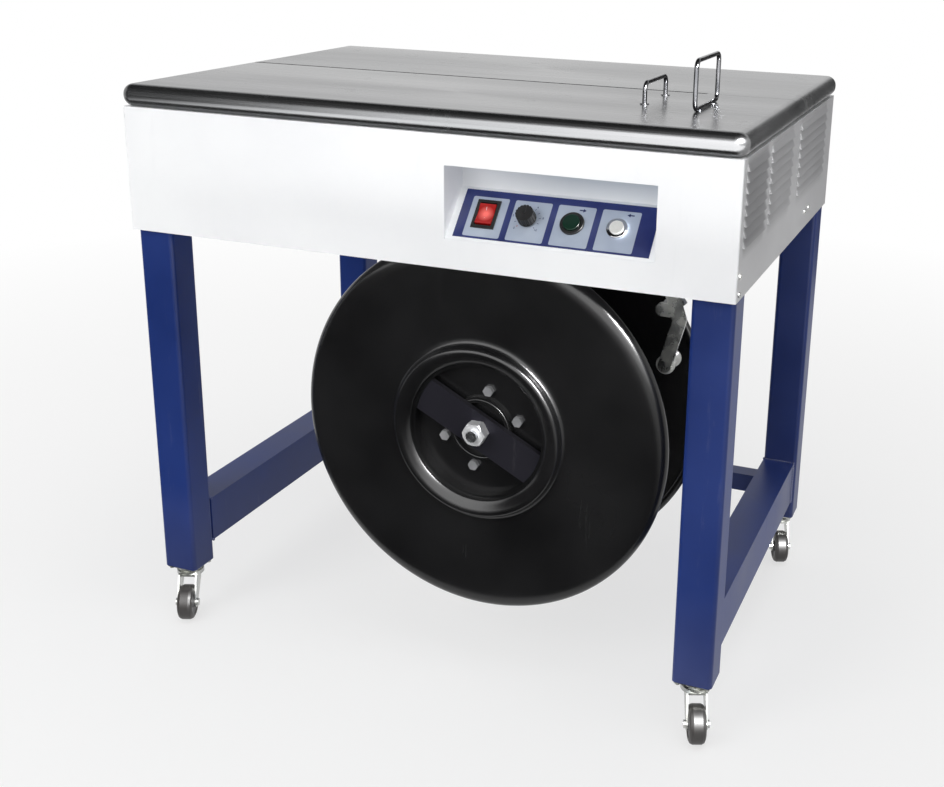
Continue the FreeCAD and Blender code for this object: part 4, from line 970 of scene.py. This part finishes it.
# The black cards keep the reel and the table's rolled edge dark. The white ones draw the edge's
# bright band.
card("floor_black_card", (-3.0, -3.6, 0.01), (0.9, -0.35, 0.01), 0.015, 0.5, 0.9)
card("left_black_card", (-5.0, -2.0, 0.0), (-0.8, -2.0, 3.2), 0.01, -1.35, -0.85)
card("ceiling_black_card", (-3.0, -2.1, 2.4), (3.0, 1.1, 2.4), 0.02, 2.6, 3.0)
card("right_black_card", (0.52, 2.0, 0.0), (1.9, 2.0, 1.7), 0.05, 1.5, 1.9)
card("front_white_card", (-2.2, -3.0, 0.6), (2.2, -3.0, 2.3), 4.2, 2.0, 2.2)
card("low_white_card", (-0.75, -3.0, 0.66), (2.2, -0.42, 0.66), 4.2, -0.25, -0.70)

world = bpy.data.worlds.new("studio_surround")
bpy.context.scene.world = world
world.use_nodes = True
tree = world.node_tree
surround = tree.nodes["Background"]
surround.inputs["Color"].default_value = plain_white
strength = spread(tree, seen_directly(tree), 0.0, 1.0, 0.5, 1.0)
feed(tree, surround.inputs["Strength"], strength)


def soft_light(name, spot, target, size, power):
    lamp = bpy.data.lights.new(name, "AREA")
    lamp.shape = "SQUARE"
    lamp.size = size
    lamp.energy = power
    holder = bpy.data.objects.new(name, lamp)
    bpy.context.scene.collection.objects.link(holder)
    holder.location = spot
    holder.rotation_euler = (Vector(target) - Vector(spot)).to_track_quat("-Z", "Y").to_euler()
    return holder


key = soft_light("key_light", (-1.6, -3.2, 2.4), (0.0, 0.0, 0.5), 2.0, 60.0)
top = soft_light("top_light", (0.6, -0.4, 3.2), (0.1, 0.0, 0.4), 1.6, 18.0)
key.visible_glossy = False
top.visible_glossy = False
glint = soft_light("glint_light", (1.68, -1.5, 1.95), (0.07, -0.24, 0.36), 0.9, 520.0)
glint.visible_diffuse = False

# Camera at the photograph's place, level within about a degree, with its frame shifted to match.
camera_spot = (0.7360, -1.70294, 1.0387)
azimuth, elevation, roll = (math.radians(value) for value in (20.56, 17.33, 1.24))
back = Vector((
    math.sin(azimuth) * math.cos(elevation),
    -math.cos(azimuth) * math.cos(elevation),
    math.sin(elevation),
))
right = (-back).cross(Vector((0, 0, 1))).normalized()
above = right.cross(-back)
across = right * math.cos(roll) + above * math.sin(roll)
upward = above * math.cos(roll) - right * math.sin(roll)
lens = bpy.data.cameras.new("photo_camera")
lens.sensor_width = 36.0
lens.lens = 48.81
lens.shift_x = -0.0932
lens.shift_y = -0.0885
camera = bpy.data.objects.new("photo_camera", lens)
bpy.context.scene.collection.objects.link(camera)
turned = Matrix((across, upward, back)).transposed().to_4x4()
camera.matrix_world = Matrix.Translation(camera_spot) @ turned
bpy.context.scene.camera = camera
bpy.context.scene.view_settings.view_transform = "Standard"
